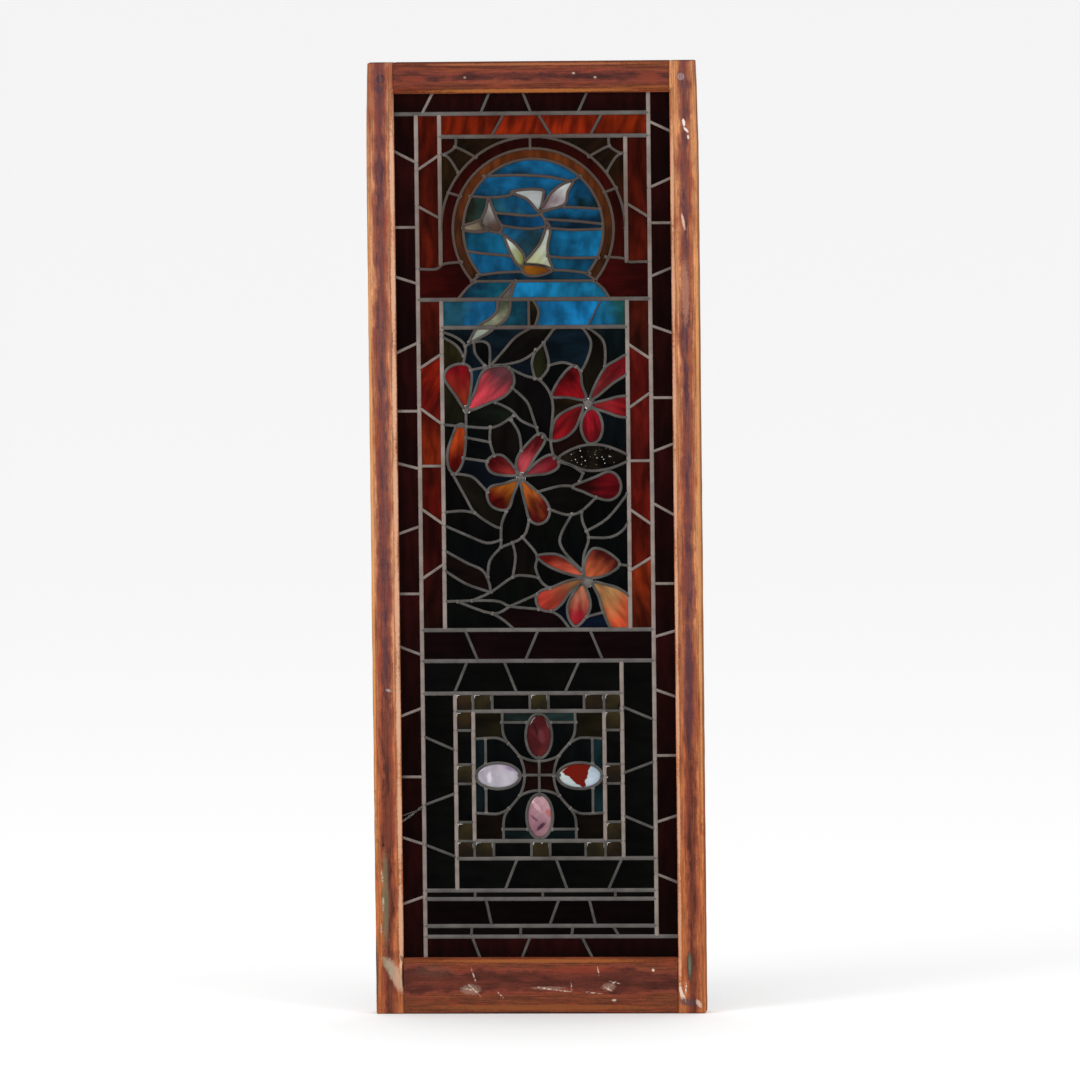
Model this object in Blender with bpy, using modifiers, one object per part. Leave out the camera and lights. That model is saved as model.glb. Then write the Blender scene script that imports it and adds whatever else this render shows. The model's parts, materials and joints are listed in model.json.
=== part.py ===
"""A leaded stained glass window: coloured panes held by lead cames in a pegged wooden sash.

X runs to the right, Z up, and the front faces -Y. The origin is the middle of the bottom
rail's underside. Sizes and places below are in millimetres, and MM turns them into metres.
"""

import math

import bmesh
import bpy
import numpy as np
from mathutils import Vector
from mathutils.geometry import delaunay_2d_cdt

MM = 0.001

# The wooden sash.
SASH_WIDTH = 463.0
SASH_HEIGHT = 1332.0
SASH_THICK = 35.0
STILE = 38.5
BOTTOM_RAIL = 78.5
TOP_RAIL = 43.5
STICKING = 7.0  # chamfer round the sight opening
LIP = 7.0  # wood left between the chamfer and the rebate
REBATE = 10.0
FIT = 0.3  # air between two pieces
OVERCUT = 1.0  # how far a cutting tool reaches past the face it starts from
ARRIS = 1.2  # worn outer edges
PEG_RADIUS = 5.5
PEG_LENGTH = 22.0
PEG_INSET = 22.0  # from the sash's side to a peg's middle
BEAD_DEPTH = 10.0
BEAD_WIDTH = 9.0
BEAD_CHAMFER = 4.0

# The leaded panel.
PANEL_EDGE = 7.5  # how far the panel reaches under the wood
UNDER_WOOD = 3.0  # how far the border's short leads do
GLASS = 3.0
HEART = 1.6
FLANGE = 1.5
CAME = 6.0
THIN_CAME = 4.2

# How far an outline may stray where a bend is left out.
SLACK = 0.1
LEAD_SLACK = 0.9
JOINT_SLACK = 1.2  # between two sheets, under the lead that covers their joint
BEND_SLACK = 3.0  # round a bird or a petal
SHEET_SLACK = 0.3

# Levels through the thickness, front to back.
FRONT = -SASH_THICK / 2
BACK = SASH_THICK / 2
REBATE_FACE = FRONT + STICKING + LIP
PANEL_FRONT = REBATE_FACE + FIT
FLANGE_BACK = PANEL_FRONT + FLANGE
GLASS_MIDDLE = FLANGE_BACK + FIT + GLASS / 2
REAR_FLANGE = FLANGE_BACK + 2 * FIT + GLASS
PANEL_BACK = REAR_FLANGE + FLANGE

# The sight opening, and the lead lines that divide it.
SIGHT = SASH_WIDTH / 2 - STILE
SIGHT_LOW = BOTTOM_RAIL
SIGHT_TOP = SASH_HEIGHT - TOP_RAIL
OUTER_X = 162.5
OUTER_TOP = 1260.0
OUTER_LOW = 107.0
INNER_X = 130.0
BAND_TOP = 1228.0
SHOULDER = 1049.0
SILL = 1000.5
FLOWER_TOP = 961.5
FLOWER_LOW = 538.0
STRIP_LOW = 494.5
GREEN_X = 117.0
GREEN_TOP = 449.0
GREEN_LOW = 217.0
JEWEL_X = 92.0
JEWEL_TOP = 424.0
JEWEL_LOW = 241.5
THIN_TOP = 172.0
THIN_LOW = 160.0
RED_LOW = 122.0

ARCH_Z = 1098.5
ARC_STEPS = 12
ARCH_OUTER = 129.0
ARCH_MIDDLE = 112.5
ARCH_INNER = 98.0

QUATREFOIL_Z = 333.0


def line(x0, z0, x1, z1):
    return [(x0, z0), (x1, z1)]


def circle_arc(radius, start, end, steps, middle=(0.0, ARCH_Z)):
    """Points on a circle, with angles in degrees counted from +X towards +Z."""
    angles = [math.radians(start + (end - start) * i / steps) for i in range(steps + 1)]
    return [(middle[0] + radius * math.cos(a), middle[1] + radius * math.sin(a)) for a in angles]


# Borders: short leads that cut each strip, as (place on its outer lead, place on its inner lead).
LEFT_BORDER_CUTS = [
    (1210, 1192), (1102, 1102), (1034, 1023), (925, 941), (845, 845), (773, 764), (672, 684),
    (589, 589), (516, 503), (416, 429), (332, 332), (273, 290), (248, 237), (152, 164),
]
RIGHT_BORDER_CUTS = [
    (1232, 1248), (1170, 1155), (1106, 1106), (1045, 1031), (951, 963), (862, 862), (799, 786),
    (696, 715), (602, 602), (537, 527), (442, 454), (361, 361), (278, 267), (181, 195),
]
TOP_BORDER_CUTS = [(-137, -154), (-58, -72), (-14, -1), (79, 64)]
BOTTOM_BORDER_CUTS = [(-85, -97), (-28, -15), (73, 57)]
AMBER_TOP_CUTS = [(-39, -57), (8, 27), (98, 81)]
AMBER_LEFT_CUTS = [(1181, 1203), (1132, 1114), (904, 925), (850, 826), (768, 768), (709, 686), (609, 631)]
AMBER_RIGHT_CUTS = [(1114, 1134), (916, 938), (870, 847), (774, 774), (684, 707), (640, 620)]
RED_STRIP_CUTS = [(-102, -84), (1, -18), (73, 91)]
GREEN_TOP_CUTS = [(-99, -118), (-48, -30), (58, 37)]
GREEN_RIGHT_CUTS = [(411, 430), (353, 336), (258, 277)]
GREEN_LEFT_CUTS = [(389, 369), (292, 309), (237, 219)]
GREEN_LOW_CUTS = [(-32, -50), (22, 38), (115, 95)]
THIN_TOP_CUTS = [(-92, -92), (3, 3), (105, 105)]
RED_LOW_CUTS = [(-77, -69), (26, 12), (68, 77)]
THIN_LOW_CUTS = [(-97, -98), (-28, -29), (45, 43), (101, 110)]


def upright_cuts(cuts, outer_x, inner_x):
    return [line(outer_x, outer, inner_x, inner) for outer, inner in cuts]


def level_cuts(cuts, top, low):
    return [line(upper, top, lower, low) for upper, lower in cuts]


def rectangle(x, low, top):
    return [(-x, low), (x, low), (x, top), (-x, top)]


def frame_rectangles():
    """The came round the panel's edge, under the wood, and the one inside the ring of jewels."""
    inset = PANEL_EDGE - CAME / 2
    return [
        rectangle(SIGHT + inset, SIGHT_LOW - inset, SIGHT_TOP + inset),
        rectangle(JEWEL_X, JEWEL_LOW, JEWEL_TOP),
    ]


def frame_leads():
    """The straight leads that part one area from the next, with a heart and both flanges."""
    reach = PANEL_EDGE / 2
    edge, low, top = SIGHT + reach, SIGHT_LOW - reach, SIGHT_TOP + reach
    return [
        line(-OUTER_X, low, -OUTER_X, OUTER_TOP),
        line(-edge, OUTER_TOP, OUTER_X, OUTER_TOP),
        line(OUTER_X, top, OUTER_X, OUTER_LOW),
        line(-OUTER_X, OUTER_LOW, edge, OUTER_LOW),
        line(-INNER_X, BAND_TOP, OUTER_X, BAND_TOP),
        line(-INNER_X, OUTER_TOP, -INNER_X, SHOULDER),
        line(INNER_X, BAND_TOP, INNER_X, SHOULDER + 4),
        *SHOULDER_LEADS,
        line(-OUTER_X, SILL, OUTER_X, SILL),
        line(-INNER_X, SILL, -INNER_X, FLOWER_LOW),
        line(INNER_X, SILL, INNER_X, FLOWER_LOW),
        line(-INNER_X, FLOWER_TOP, INNER_X, FLOWER_TOP),
        line(-OUTER_X, FLOWER_LOW, OUTER_X, FLOWER_LOW),
        line(-OUTER_X, STRIP_LOW, OUTER_X, STRIP_LOW),
        line(-OUTER_X, GREEN_TOP, GREEN_X, GREEN_TOP),
        line(GREEN_X, STRIP_LOW, GREEN_X, GREEN_LOW),
        line(OUTER_X, GREEN_LOW, -GREEN_X, GREEN_LOW),
        line(-GREEN_X, GREEN_TOP, -GREEN_X, THIN_TOP),
        line(-OUTER_X, THIN_TOP, OUTER_X, THIN_TOP),
        line(-OUTER_X, THIN_LOW, OUTER_X, THIN_LOW),
        line(-OUTER_X, RED_LOW, OUTER_X, RED_LOW),
    ]


def border_leads():
    """The short leads across every border strip."""
    return (
        upright_cuts(LEFT_BORDER_CUTS, -SIGHT - UNDER_WOOD, -OUTER_X)
        + upright_cuts(RIGHT_BORDER_CUTS, SIGHT + UNDER_WOOD, OUTER_X)
        + level_cuts(TOP_BORDER_CUTS, SIGHT_TOP + UNDER_WOOD, OUTER_TOP)
        + level_cuts(BOTTOM_BORDER_CUTS, SIGHT_LOW - UNDER_WOOD, OUTER_LOW)
        + level_cuts(AMBER_TOP_CUTS, OUTER_TOP, BAND_TOP)
        + upright_cuts(AMBER_LEFT_CUTS, -OUTER_X, -INNER_X)
        + upright_cuts(AMBER_RIGHT_CUTS, OUTER_X, INNER_X)
        + level_cuts(RED_STRIP_CUTS, FLOWER_LOW, STRIP_LOW)
        + level_cuts(GREEN_TOP_CUTS, STRIP_LOW, GREEN_TOP)
        + upright_cuts(GREEN_RIGHT_CUTS, OUTER_X, GREEN_X)
        + upright_cuts(GREEN_LEFT_CUTS, -OUTER_X, -GREEN_X)
        + level_cuts(GREEN_LOW_CUTS, GREEN_LOW, THIN_TOP)
        + level_cuts(THIN_TOP_CUTS, THIN_TOP, THIN_LOW)
        + level_cuts(RED_LOW_CUTS, THIN_LOW, RED_LOW)
        + level_cuts(THIN_LOW_CUTS, RED_LOW, OUTER_LOW)
    )


# The arched sky with its birds.
SKY_LEADS = [
    [(-68, 1173), (-20, 1174), (16, 1172), (38, 1168), (56, 1165)],
    [(56, 1165), (67, 1172)],
    [(-88, 1145), (-60, 1143), (-36, 1145), (-27, 1149)],
    [(44, 1129), (66, 1128), (94, 1126)],
    [(16, 1112), (60, 1109), (97, 1105)],
    [(21, 1100), (55, 1097), (97, 1098)],
    [(-52, 1121), (-36, 1120), (-18, 1118), (0, 1117), (12, 1119)],
    [(-44, 1104), (-22, 1100), (0, 1099), (17, 1102)],
    [(9, 1124), (17, 1109)],
    [(-47, 1094), (-39, 1088)],
    [(-92, 1068), (-72, 1065), (-50, 1063), (-31, 1061)],
    [(20, 1061), (42, 1058), (91, 1058)],
    [(-79, 1034), (-48, 1038), (-15, 1039)],
    [(25, 1041), (50, 1040), (78, 1036)],
]
# The arch's shoulders.
SHOULDER_LEADS = [
    [(-162.5, 1044), (-146, 1043), (-135, 1044), (-124, 1051), (-101, 1053)],
    [(162.5, 1052), (146, 1052), (134, 1052), (125, 1057), (101, 1059)],
]
# Where the sky ends, with the feet of the arch's inner ring.
SKY_FOOT_LEADS = [
    [(-87, 1026), (87, 1026)],
    [(-73, 1036.5), (-88, 1025.25)],
    [(73, 1036.5), (88, 1025.25)],
]
LOW_BIRD_LEADS = [
    [(-25, 1026), (-30, 1013), (-33, 1000), (-34, 986), (-40, 972), (-56, 961)],
    [(-27, 1026), (-40, 1012), (-50, 1000), (-52, 985), (-62, 974), (-80, 962), (-92, 941)],
    [(-54, 962), (-64, 954), (-78, 946), (-91, 940)],
]
SILL_LEADS = [
    [(-82, 1026), (-94, 1016), (-107, SILL)],
    [(84, 1026), (97, 1015), (106, SILL)],
    line(-7.5, SILL, -7.5, FLOWER_TOP),
    [(-2, SILL), (6, 985), (4, 971), (0, FLOWER_TOP)],
]
SPANDREL_LEADS = [
    [(-130, 1203), (-120, 1205), (-108, 1214), (-107, 1228)],
    [(-108, 1214), (-95, 1208), (-79, 1199)],
    [(-123, 1203), (-115, 1196), (-104, 1178)],
]


def mirrored(paths):
    return [[(-x, z) for x, z in path] for path in paths]


def arch_arcs():
    """The three rings of the arch, as (radius, first angle, last angle)."""
    return [(ARCH_OUTER, 0, 180), (ARCH_MIDDLE, -40.2, 220.2), (ARCH_INNER, -40.5, 220.5)]


def arch_leads():
    rings = [circle_arc(radius, start, end, ARC_STEPS) for radius, start, end in arch_arcs()]
    ring_cuts = [
        line(-3, ARCH_Z + ARCH_OUTER, -3, ARCH_Z + ARCH_MIDDLE),
        line(-118, 1150, -101, 1145),
        line(117, 1155, 100, 1149),
    ]
    spandrels = SPANDREL_LEADS + mirrored(SPANDREL_LEADS)
    return rings + ring_cuts + SKY_LEADS + SKY_FOOT_LEADS + SILL_LEADS + spandrels


# Wings and bodies, bird by bird, as closed outlines.
BIRDS = {
    "high": [
        [(-30, 1150), (-8, 1154), (13, 1153), (15, 1146), (7, 1127), (-8, 1140)],
        [(8, 1122), (16, 1134), (24, 1147), (40, 1160), (57, 1165), (49, 1150), (45, 1133),
         (25, 1126)],
    ],
    "left": [
        [(-62, 1142), (-56, 1127), (-50, 1113), (-43, 1101), (-49, 1094), (-62, 1097), (-71, 1104),
         (-72, 1113), (-66, 1127)],
        [(-97, 1104), (-84, 1108), (-73, 1112), (-71, 1104), (-62, 1097), (-80, 1095),
         (-97, 1098)],
    ],
    "low": [
        [(-41, 1089), (-30, 1082), (-20, 1072), (-13, 1061), (-14, 1047), (-22, 1048), (-31, 1062)],
        [(-13, 1051), (-2, 1064), (9, 1078), (15, 1092), (20, 1107), (24, 1095), (20, 1074),
         (22, 1057), (27, 1041), (14, 1047), (0, 1049)],
        [(-14, 1049), (0, 1049), (14, 1047), (26, 1041), (14, 1035), (-4, 1033), (-16, 1039)],
    ],
}


# The lead between the high bird's wings, which makes one sheet of them.
WING_JOINTS = {"high": [[(15, 1146), (7, 1127), (8, 1122), (16, 1134)]]}

# The flower panel. Each petal is a closed outline that starts at its flower's hub.
FLOWERS = {
    "pink": [
        [(-97, 848), (-112, 867), (-127, 891), (-120, 906), (-102, 911), (-90, 904), (-89, 881)],
        [(-94, 846), (-84, 873), (-75, 897), (-62, 907), (-43, 908), (-31, 898), (-30, 880),
         (-43, 865), (-64, 856)],
    ],
    "orange_bell": [
        [(-109, 825), (-118, 806), (-124, 785), (-122, 765), (-114, 757), (-105, 767), (-99, 788),
         (-98, 822)],
    ],
    "red": [
        [(71, 860), (66, 880), (64, 898), (57, 907), (48, 904), (37, 892), (27, 876), (24, 864),
         (45, 863)],
        [(77, 860), (84, 880), (98, 904), (113, 914), (131, 922), (131, 898), (110, 883), (88, 865)],
        [(80, 854), (102, 860), (118, 864), (132, 862), (132, 837), (117, 836), (100, 842),
         (82, 848)],
        [(74, 846), (66, 834), (64, 818), (70, 803), (78, 798), (89, 804), (94, 818), (92, 834),
         (84, 846)],
        [(67, 852), (48, 847), (31, 836), (24, 821), (23, 803), (40, 806), (54, 817), (62, 833)],
    ],
    "middle": [
        [(-24, 754), (-28, 765), (-25, 781), (-14, 796), (3, 812), (13, 810), (12, 799), (-2, 778),
         (-15, 757)],
        [(-25, 755), (-32, 768), (-46, 782), (-60, 782), (-69, 772), (-64, 760), (-50, 755)],
        [(-17, 754), (-9, 763), (4, 775), (20, 783), (31, 777), (31, 765), (17, 757), (0, 755)],
        [(-25, 748), (-45, 743), (-63, 739), (-69, 728), (-64, 713), (-50, 706), (-38, 709),
         (-32, 727)],
        [(-22, 749), (-20, 734), (-15, 712), (-10, 693), (1, 686), (13, 690), (19, 703), (14, 718),
         (1, 732), (-13, 744)],
    ],
    "low": [
        [(64, 617), (62, 612), (40, 617), (20, 625), (6, 634), (1, 642), (25, 644), (43, 636)],
        [(67, 612), (67, 631), (74, 647), (83, 652), (100, 646), (116, 631), (106, 619),
         (86, 611)],
        [(64, 610), (42, 606), (22, 598), (4, 592), (-2, 580), (4, 567), (20, 564), (34, 574),
         (47, 591), (63, 603)],
        [(62, 602), (49, 587), (42, 570), (44, 553), (53, 542), (64, 550), (73, 564), (74, 579),
         (68, 597)],
        [(78, 604), (86, 584), (92, 563), (106, 536), (132, 536), (132, 578), (117, 594),
         (97, 601)],
    ],
    "bud": [
        [(50, 738), (66, 745), (84, 752), (101, 759), (113, 754), (119, 740), (115, 726),
         (102, 719), (84, 723), (66, 731)],
    ],
    "spindle": [
        [(32, 778), (54, 792), (77, 797), (102, 794), (132, 779), (114, 767), (91, 761),
         (70, 761), (53, 767)],
    ],
}
# The solder where petals meet, as (x, z, radius).
HUBS = {"pink": (-96, 847, 4), "red": (75, 854, 6), "middle": (-21, 752, 5), "low": (70, 604, 6)}
HUB_REACH = 4.0  # how far past the solder a flower's sheet goes, so that its petals hold together

LEAF_LEADS = [
    # The top left corner.
    [(-130, 956), (-110, 948), (-97, 935), (-100, 911)],
    [(-130, 949), (-110, 937), (-100, 922)],
    [(-97, 935), (-86, 941), (-83, 925), (-70, 908)],
    [(-86, 941), (-72, 942), (-63, 934), (-63, 907)],
    [(-90, 902), (-64, 907)],
    # The long leaf and its neighbours.
    [(-62, 908), (-44, 928), (-27, 947), (-6, 960)],
    [(-64, 907), (-44, 909), (-16, 916), (8, 934), (28, 960)],
    [(-36, 905), (-14, 894), (4, 889), (14, 880), (22, 866), (25, 846), (21, 803), (26, 778)],
    [(2, 930), (-4, 912), (0, 890)],
    [(13, 940), (20, 908), (8, 889)],
    [(20, 908), (40, 912), (58, 906)],
    [(68, 960), (78, 944), (78, 929), (71, 910), (65, 900)],
    [(76, 960), (95, 944), (99, 926), (98, 906)],
    # Between the pink and the middle flowers.
    [(-32, 877), (-12, 858), (-4, 838), (4, 812)],
    [(-56, 857), (-34, 846), (-20, 831), (2, 821)],
    [(-130, 826), (-97, 823), (-58, 822), (-30, 838)],
    [(-97, 843), (-97, 823)],
    [(-63, 822), (-64, 802), (-58, 782)],
    [(-34, 832), (-23, 813), (-20, 789)],
    [(-98, 808), (-64, 801)],
    [(-102, 779), (-68, 774)],
    [(10, 808), (22, 802)],
    [(32, 773), (50, 768), (66, 757)],
    [(66, 757), (61, 745)],
    # Below the bell, on the left.
    [(-117, 757), (-98, 722), (-86, 702), (-60, 684), (-50, 681)],
    [(-112, 757), (-90, 753), (-76, 740), (-68, 731)],
    [(-130, 703), (-104, 705), (-86, 702)],
    [(-130, 685), (-98, 671), (-70, 660), (-50, 664)],
    [(-130, 650), (-98, 632), (-77, 622), (-68, 606), (-65, 591)],
    [(-130, 622), (-100, 603), (-66, 591)],
    # The leaves under the middle flower.
    [(-42, 704), (-49, 685), (-50, 654)],
    [(-10, 692), (-19, 668), (-50, 654)],
    [(-50, 654), (-66, 635), (-69, 612)],
    [(-34, 660), (-30, 640), (-34, 612)],
    [(-20, 668), (0, 643), (-2, 625), (6, 605), (18, 596)],
    [(2, 611), (-16, 614), (-34, 612), (-65, 591), (-92, 579)],
    [(2, 731), (32, 739), (52, 739)],
    [(18, 707), (42, 699), (62, 703), (84, 723)],
    [(50, 700), (33, 668), (38, 648), (62, 622)],
    [(63, 703), (65, 688), (73, 666), (66, 642), (64, 616)],
    [(70, 676), (100, 694), (128, 728)],
    [(73, 667), (102, 667), (120, 676), (130, 690)],
    [(116, 629), (130, 627)],
    # Along the foot.
    [(-130, 578), (-61, 579), (-38, 571), (2, 567)],
    [(-112, 578), (-63, 561), (-36, 572), (0, 588)],
    [(-63, 561), (-48, 552), (-32, 538)],
    [(19, 564), (32, 556), (46, 538)],
    [(69, 556), (92, 562)],
]


def jewel_leads():
    """The short leads of the ring of squares round the quatrefoil."""
    rows = [-JEWEL_X, -65, -12, 14, 64, JEWEL_X]
    columns = [JEWEL_TOP, 397, 349, 322, 268, JEWEL_LOW]
    short = []
    for x in rows:
        short += [line(x, GREEN_TOP, x, JEWEL_TOP), line(x, JEWEL_LOW, x, GREEN_LOW)]
    for z in columns:
        short += [line(-GREEN_X, z, -JEWEL_X, z), line(GREEN_X, z, JEWEL_X, z)]
    return short


def oval(x, z, half_x, half_z, steps=8):
    turns = [2 * math.pi * i / steps for i in range(steps)]
    return [(x + half_x * math.cos(a), z + half_z * math.sin(a)) for a in turns]


def ovals():
    across, along, out = 18.5, 31.5, 57.0
    return {
        "top": oval(0, QUATREFOIL_Z + out - 1, across, along),
        "left": oval(-out - 1, QUATREFOIL_Z, along, across),
        "low": oval(0, QUATREFOIL_Z - out, across, along),
        "right": oval(out, QUATREFOIL_Z, along, across),
    }


def quatrefoil_leads():
    """One quarter of the lobes, turned into all four, with the cross in the middle."""
    lobes = [[(20.5, 0), (21.5, 10), (28, 28), (43, 45.5), (52, 51), (63, 53.5), (91, 52)],
             [(0, 20.5), (10, 21.5), (28, 28)],
             [(43, 45.5), (49, 56), (51, 68), (51, 91)]]
    half_bars = [[(15, 75), (52, 75)], [(75, 12), (75, 52)]]
    turned = []
    for side in (-1, 1):
        for rise in (-1, 1):
            turned += [
                [(side * x, QUATREFOIL_Z + rise * z) for x, z in path]
                for path in lobes + half_bars
            ]
    z = QUATREFOIL_Z
    cross = [line(-28, z + 1, 28, z + 1), line(0, z - 27, 0, z + 26)]
    feet = [line(0, z + 87, 0, JEWEL_TOP), line(0, JEWEL_LOW, 0, z - 88)]
    sides = [line(-JEWEL_X, z, -89, z), line(88, z, JEWEL_X, z)]
    return turned + cross + feet + sides


# Flat geometry: leads as bands, bands joined into regions, and regions raised into solids.
def bands(path, width, closed=False):
    """One four-sided band for each stretch of a path, mitred at the bends."""
    points = [Vector(p) for p in path]
    count = len(points)
    sides = []
    for i, point in enumerate(points):
        before = points[i - 1] if closed or i else None
        after = points[(i + 1) % count] if closed or i < count - 1 else None
        heads = [
            (b - a).normalized() for a, b in ((before, point), (point, after)) if a and b
        ]
        heading = sum(heads, Vector((0, 0))).normalized()
        reach = width / 2 / max(heading.dot(heads[0]), 0.5)
        across = Vector((-heading.y, heading.x)) * reach
        sides.append((point + across, point - across))
    pairs = zip(sides, sides[1:] + (sides[:1] if closed else []))
    return [[a[1], b[1], b[0], a[0]] for a, b in pairs]


def triangulate(loops):
    """The plane inside the loops' hull as (points, triangles), with every loop kept as edges."""
    points, edges = [], []
    for loop in loops:
        start, count = len(points), len(loop)
        points += [Vector((p[0], p[1])) for p in loop]
        edges += [(start + i, start + (i + 1) % count) for i in range(count)]
    found = delaunay_2d_cdt(points, edges, [], 0, 1e-4, False)
    return found[0], [tuple(face) for face in found[2]]


def middles(points, triangles):
    corners = np.array([point[:] for point in points])
    return corners[np.array(triangles)].mean(axis=1)


def inside(spots, loop):
    """For each spot, whether the loop winds round it."""
    start = np.array(loop, dtype=float)
    end = np.roll(start, -1, axis=0)
    x, y = spots[:, :1], spots[:, 1:]
    crosses = (start[:, 1] > y) != (end[:, 1] > y)
    rise = np.where(crosses, end[:, 1] - start[:, 1], 1.0)
    at = start[:, 0] + (y - start[:, 1]) * (end[:, 0] - start[:, 0]) / rise
    return (crosses & (at > x)).sum(axis=1) % 2 == 1


def within(spots, loops):
    """For each spot, whether it is in the region that outer loops and hole loops bound."""
    return sum(inside(spots, loop).astype(int) for loop in loops) % 2 == 1


def sharpest_right(points, before, at, choices):
    """Where two loops touch, the next point that stays on the loop being followed."""
    if before is None or len(choices) == 1:
        return choices[0]
    back = points[before] - points[at]

    def turn(choice):
        ahead = points[choice] - points[at]
        return math.atan2(back.x * ahead.y - back.y * ahead.x, back.dot(ahead)) % math.tau

    return min(choices, key=turn)


def outline(points, triangles):
    """The boundary of a set of triangles, as closed loops of points."""
    edges = set()
    for a, b, c in triangles:
        edges |= {(a, b), (b, c), (c, a)}
    following = {}
    for a, b in sorted(edges):
        if (b, a) not in edges:
            following.setdefault(a, []).append(b)
    loops = []
    while following:
        start = next(iter(following))
        loop, before, at = [], None, start
        while at in following:
            loop.append(at)
            step = sharpest_right(points, before, at, following[at])
            following[at].remove(step)
            if not following[at]:
                del following[at]
            before, at = at, step
        loops.append([tuple(points[i]) for i in loop])
    return loops


def straightened(loop, slack):
    """The loop without the points that lie within slack of the line between their neighbours."""
    loop = list(loop)
    index, quiet = 0, 0
    while quiet < len(loop) and len(loop) > 3:
        before, here, after = (Vector(loop[(index + k) % len(loop)]) for k in (-1, 0, 1))
        span = after - before
        off = abs(span.x * (here - before).y - span.y * (here - before).x) / max(span.length, 1e-6)
        if off < slack:
            del loop[index % len(loop)]
            quiet = 0
        else:
            index, quiet = index + 1, quiet + 1
        index %= len(loop)
    return loop


def joined(polygons, slack=SLACK):
    """The outlines of the area that the polygons cover together."""
    points, triangles = triangulate(polygons)
    spots = middles(points, triangles)
    covered = np.any([inside(spots, polygon) for polygon in polygons], axis=0)
    kept = [face for face, held in zip(triangles, covered) if held]
    return [straightened(loop, slack) for loop in outline(points, kept)]


def connected(triangles):
    """The triangles in groups that share edges."""
    by_edge = {}
    for number, (a, b, c) in enumerate(triangles):
        for edge in ((a, b), (b, c), (c, a)):
            by_edge.setdefault(frozenset(edge), []).append(number)
    left, groups = set(range(len(triangles))), []
    while left:
        group, edge_of_group = [], [left.pop()]
        while edge_of_group:
            number = edge_of_group.pop()
            group.append(number)
            a, b, c = triangles[number]
            for edge in ((a, b), (b, c), (c, a)):
                fresh = [n for n in by_edge[frozenset(edge)] if n in left]
                left -= set(fresh)
                edge_of_group += fresh
        groups.append([triangles[n] for n in group])
    return groups


def coarse(shapes):
    return [straightened(shape, BEND_SLACK) for shape in shapes]


def flower_outline(name):
    """One closed outline round all the petals of a flower, kept just inside the panel's leads."""
    shapes = coarse(FLOWERS[name])
    if name in HUBS:
        x, z, radius = HUBS[name]
        shapes.append(oval(x, z, radius + HUB_REACH, radius + HUB_REACH))
        shapes += [[(x, z), shape[1], shape[-1]] for shape in shapes[:-1]]
    return kept_inside(max(joined(shapes, JOINT_SLACK), key=len), CAME / 2 - FIT)


def kept_inside(path, margin=0.0):
    """The path with nothing past the leads round the flower panel."""
    wide, low = INNER_X - margin, FLOWER_LOW + margin
    return [(min(max(x, -wide), wide), max(z, low)) for x, z in path]


# Solids.
def material(name, colour, roughness, metallic=0.0, alpha=1.0):
    made = bpy.data.materials.new(name)
    made.use_nodes = True
    shader = made.node_tree.nodes["Principled BSDF"]
    shader.inputs["Base Color"].default_value = (*colour, 1.0)
    shader.inputs["Roughness"].default_value = roughness
    shader.inputs["Metallic"].default_value = metallic
    shader.inputs["Alpha"].default_value = alpha
    return made


def place(obj, collection, finish):
    obj.data.materials.append(finish)
    collection.objects.link(obj)
    return obj


class Layers:
    """A solid raised from flat regions: caps at chosen depths, and walls between two depths."""

    def __init__(self):
        self.mesh = bmesh.new()
        self.corners = {}

    def corner(self, point, depth):
        key = (round(point[0], 3), round(point[1], 3), depth)
        if key not in self.corners:
            self.corners[key] = self.mesh.verts.new((point[0] * MM, depth * MM, point[1] * MM))
        return self.corners[key]

    def cap(self, depth, loops, holes=()):
        points, triangles = triangulate([*loops, *holes])
        spots = middles(points, triangles)
        solid = within(spots, loops)
        if holes:
            solid &= ~within(spots, holes)
        for face in (face for face, held in zip(triangles, solid) if held):
            self.mesh.faces.new([self.corner(points[i], depth) for i in face])

    def walls(self, near, far, loops):
        for loop in loops:
            for a, b in zip(loop, loop[1:] + loop[:1]):
                ends = [(a, near), (b, near), (b, far), (a, far)]
                self.mesh.faces.new([self.corner(*end) for end in ends])

    def finish(self, name):
        bmesh.ops.recalc_face_normals(self.mesh, faces=self.mesh.faces)
        data = bpy.data.meshes.new(name)
        self.mesh.to_mesh(data)
        self.mesh.free()
        return bpy.data.objects.new(name, data)


def picture_leads():
    """Every lead that isn't straight framing, as (path, closed)."""
    thin = arch_leads() + [kept_inside(path) for path in LEAF_LEADS]
    thin += LOW_BIRD_LEADS + quatrefoil_leads() + border_leads() + jewel_leads()
    rounds = [shape for bird in BIRDS.values() for shape in coarse(bird)]
    rounds += [kept_inside(shape) for flower in FLOWERS.values() for shape in coarse(flower)]
    rounds += list(ovals().values())
    return [(path, False) for path in thin] + [(path, True) for path in rounds]


def shortened(path, by):
    """A path with a bit taken off each end."""
    first, last = Vector(path[0]), Vector(path[-1])
    start = first + (Vector(path[1]) - first).normalized() * by
    end = last + (Vector(path[-2]) - last).normalized() * by
    return [tuple(start), *path[1:-1], tuple(end)]


def framing_bands(width, trim=0.0):
    framing = [band for path in frame_leads() for band in bands(shortened(path, trim), width)]
    return framing + [band for path in frame_rectangles() for band in bands(path, width, True)]


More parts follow.
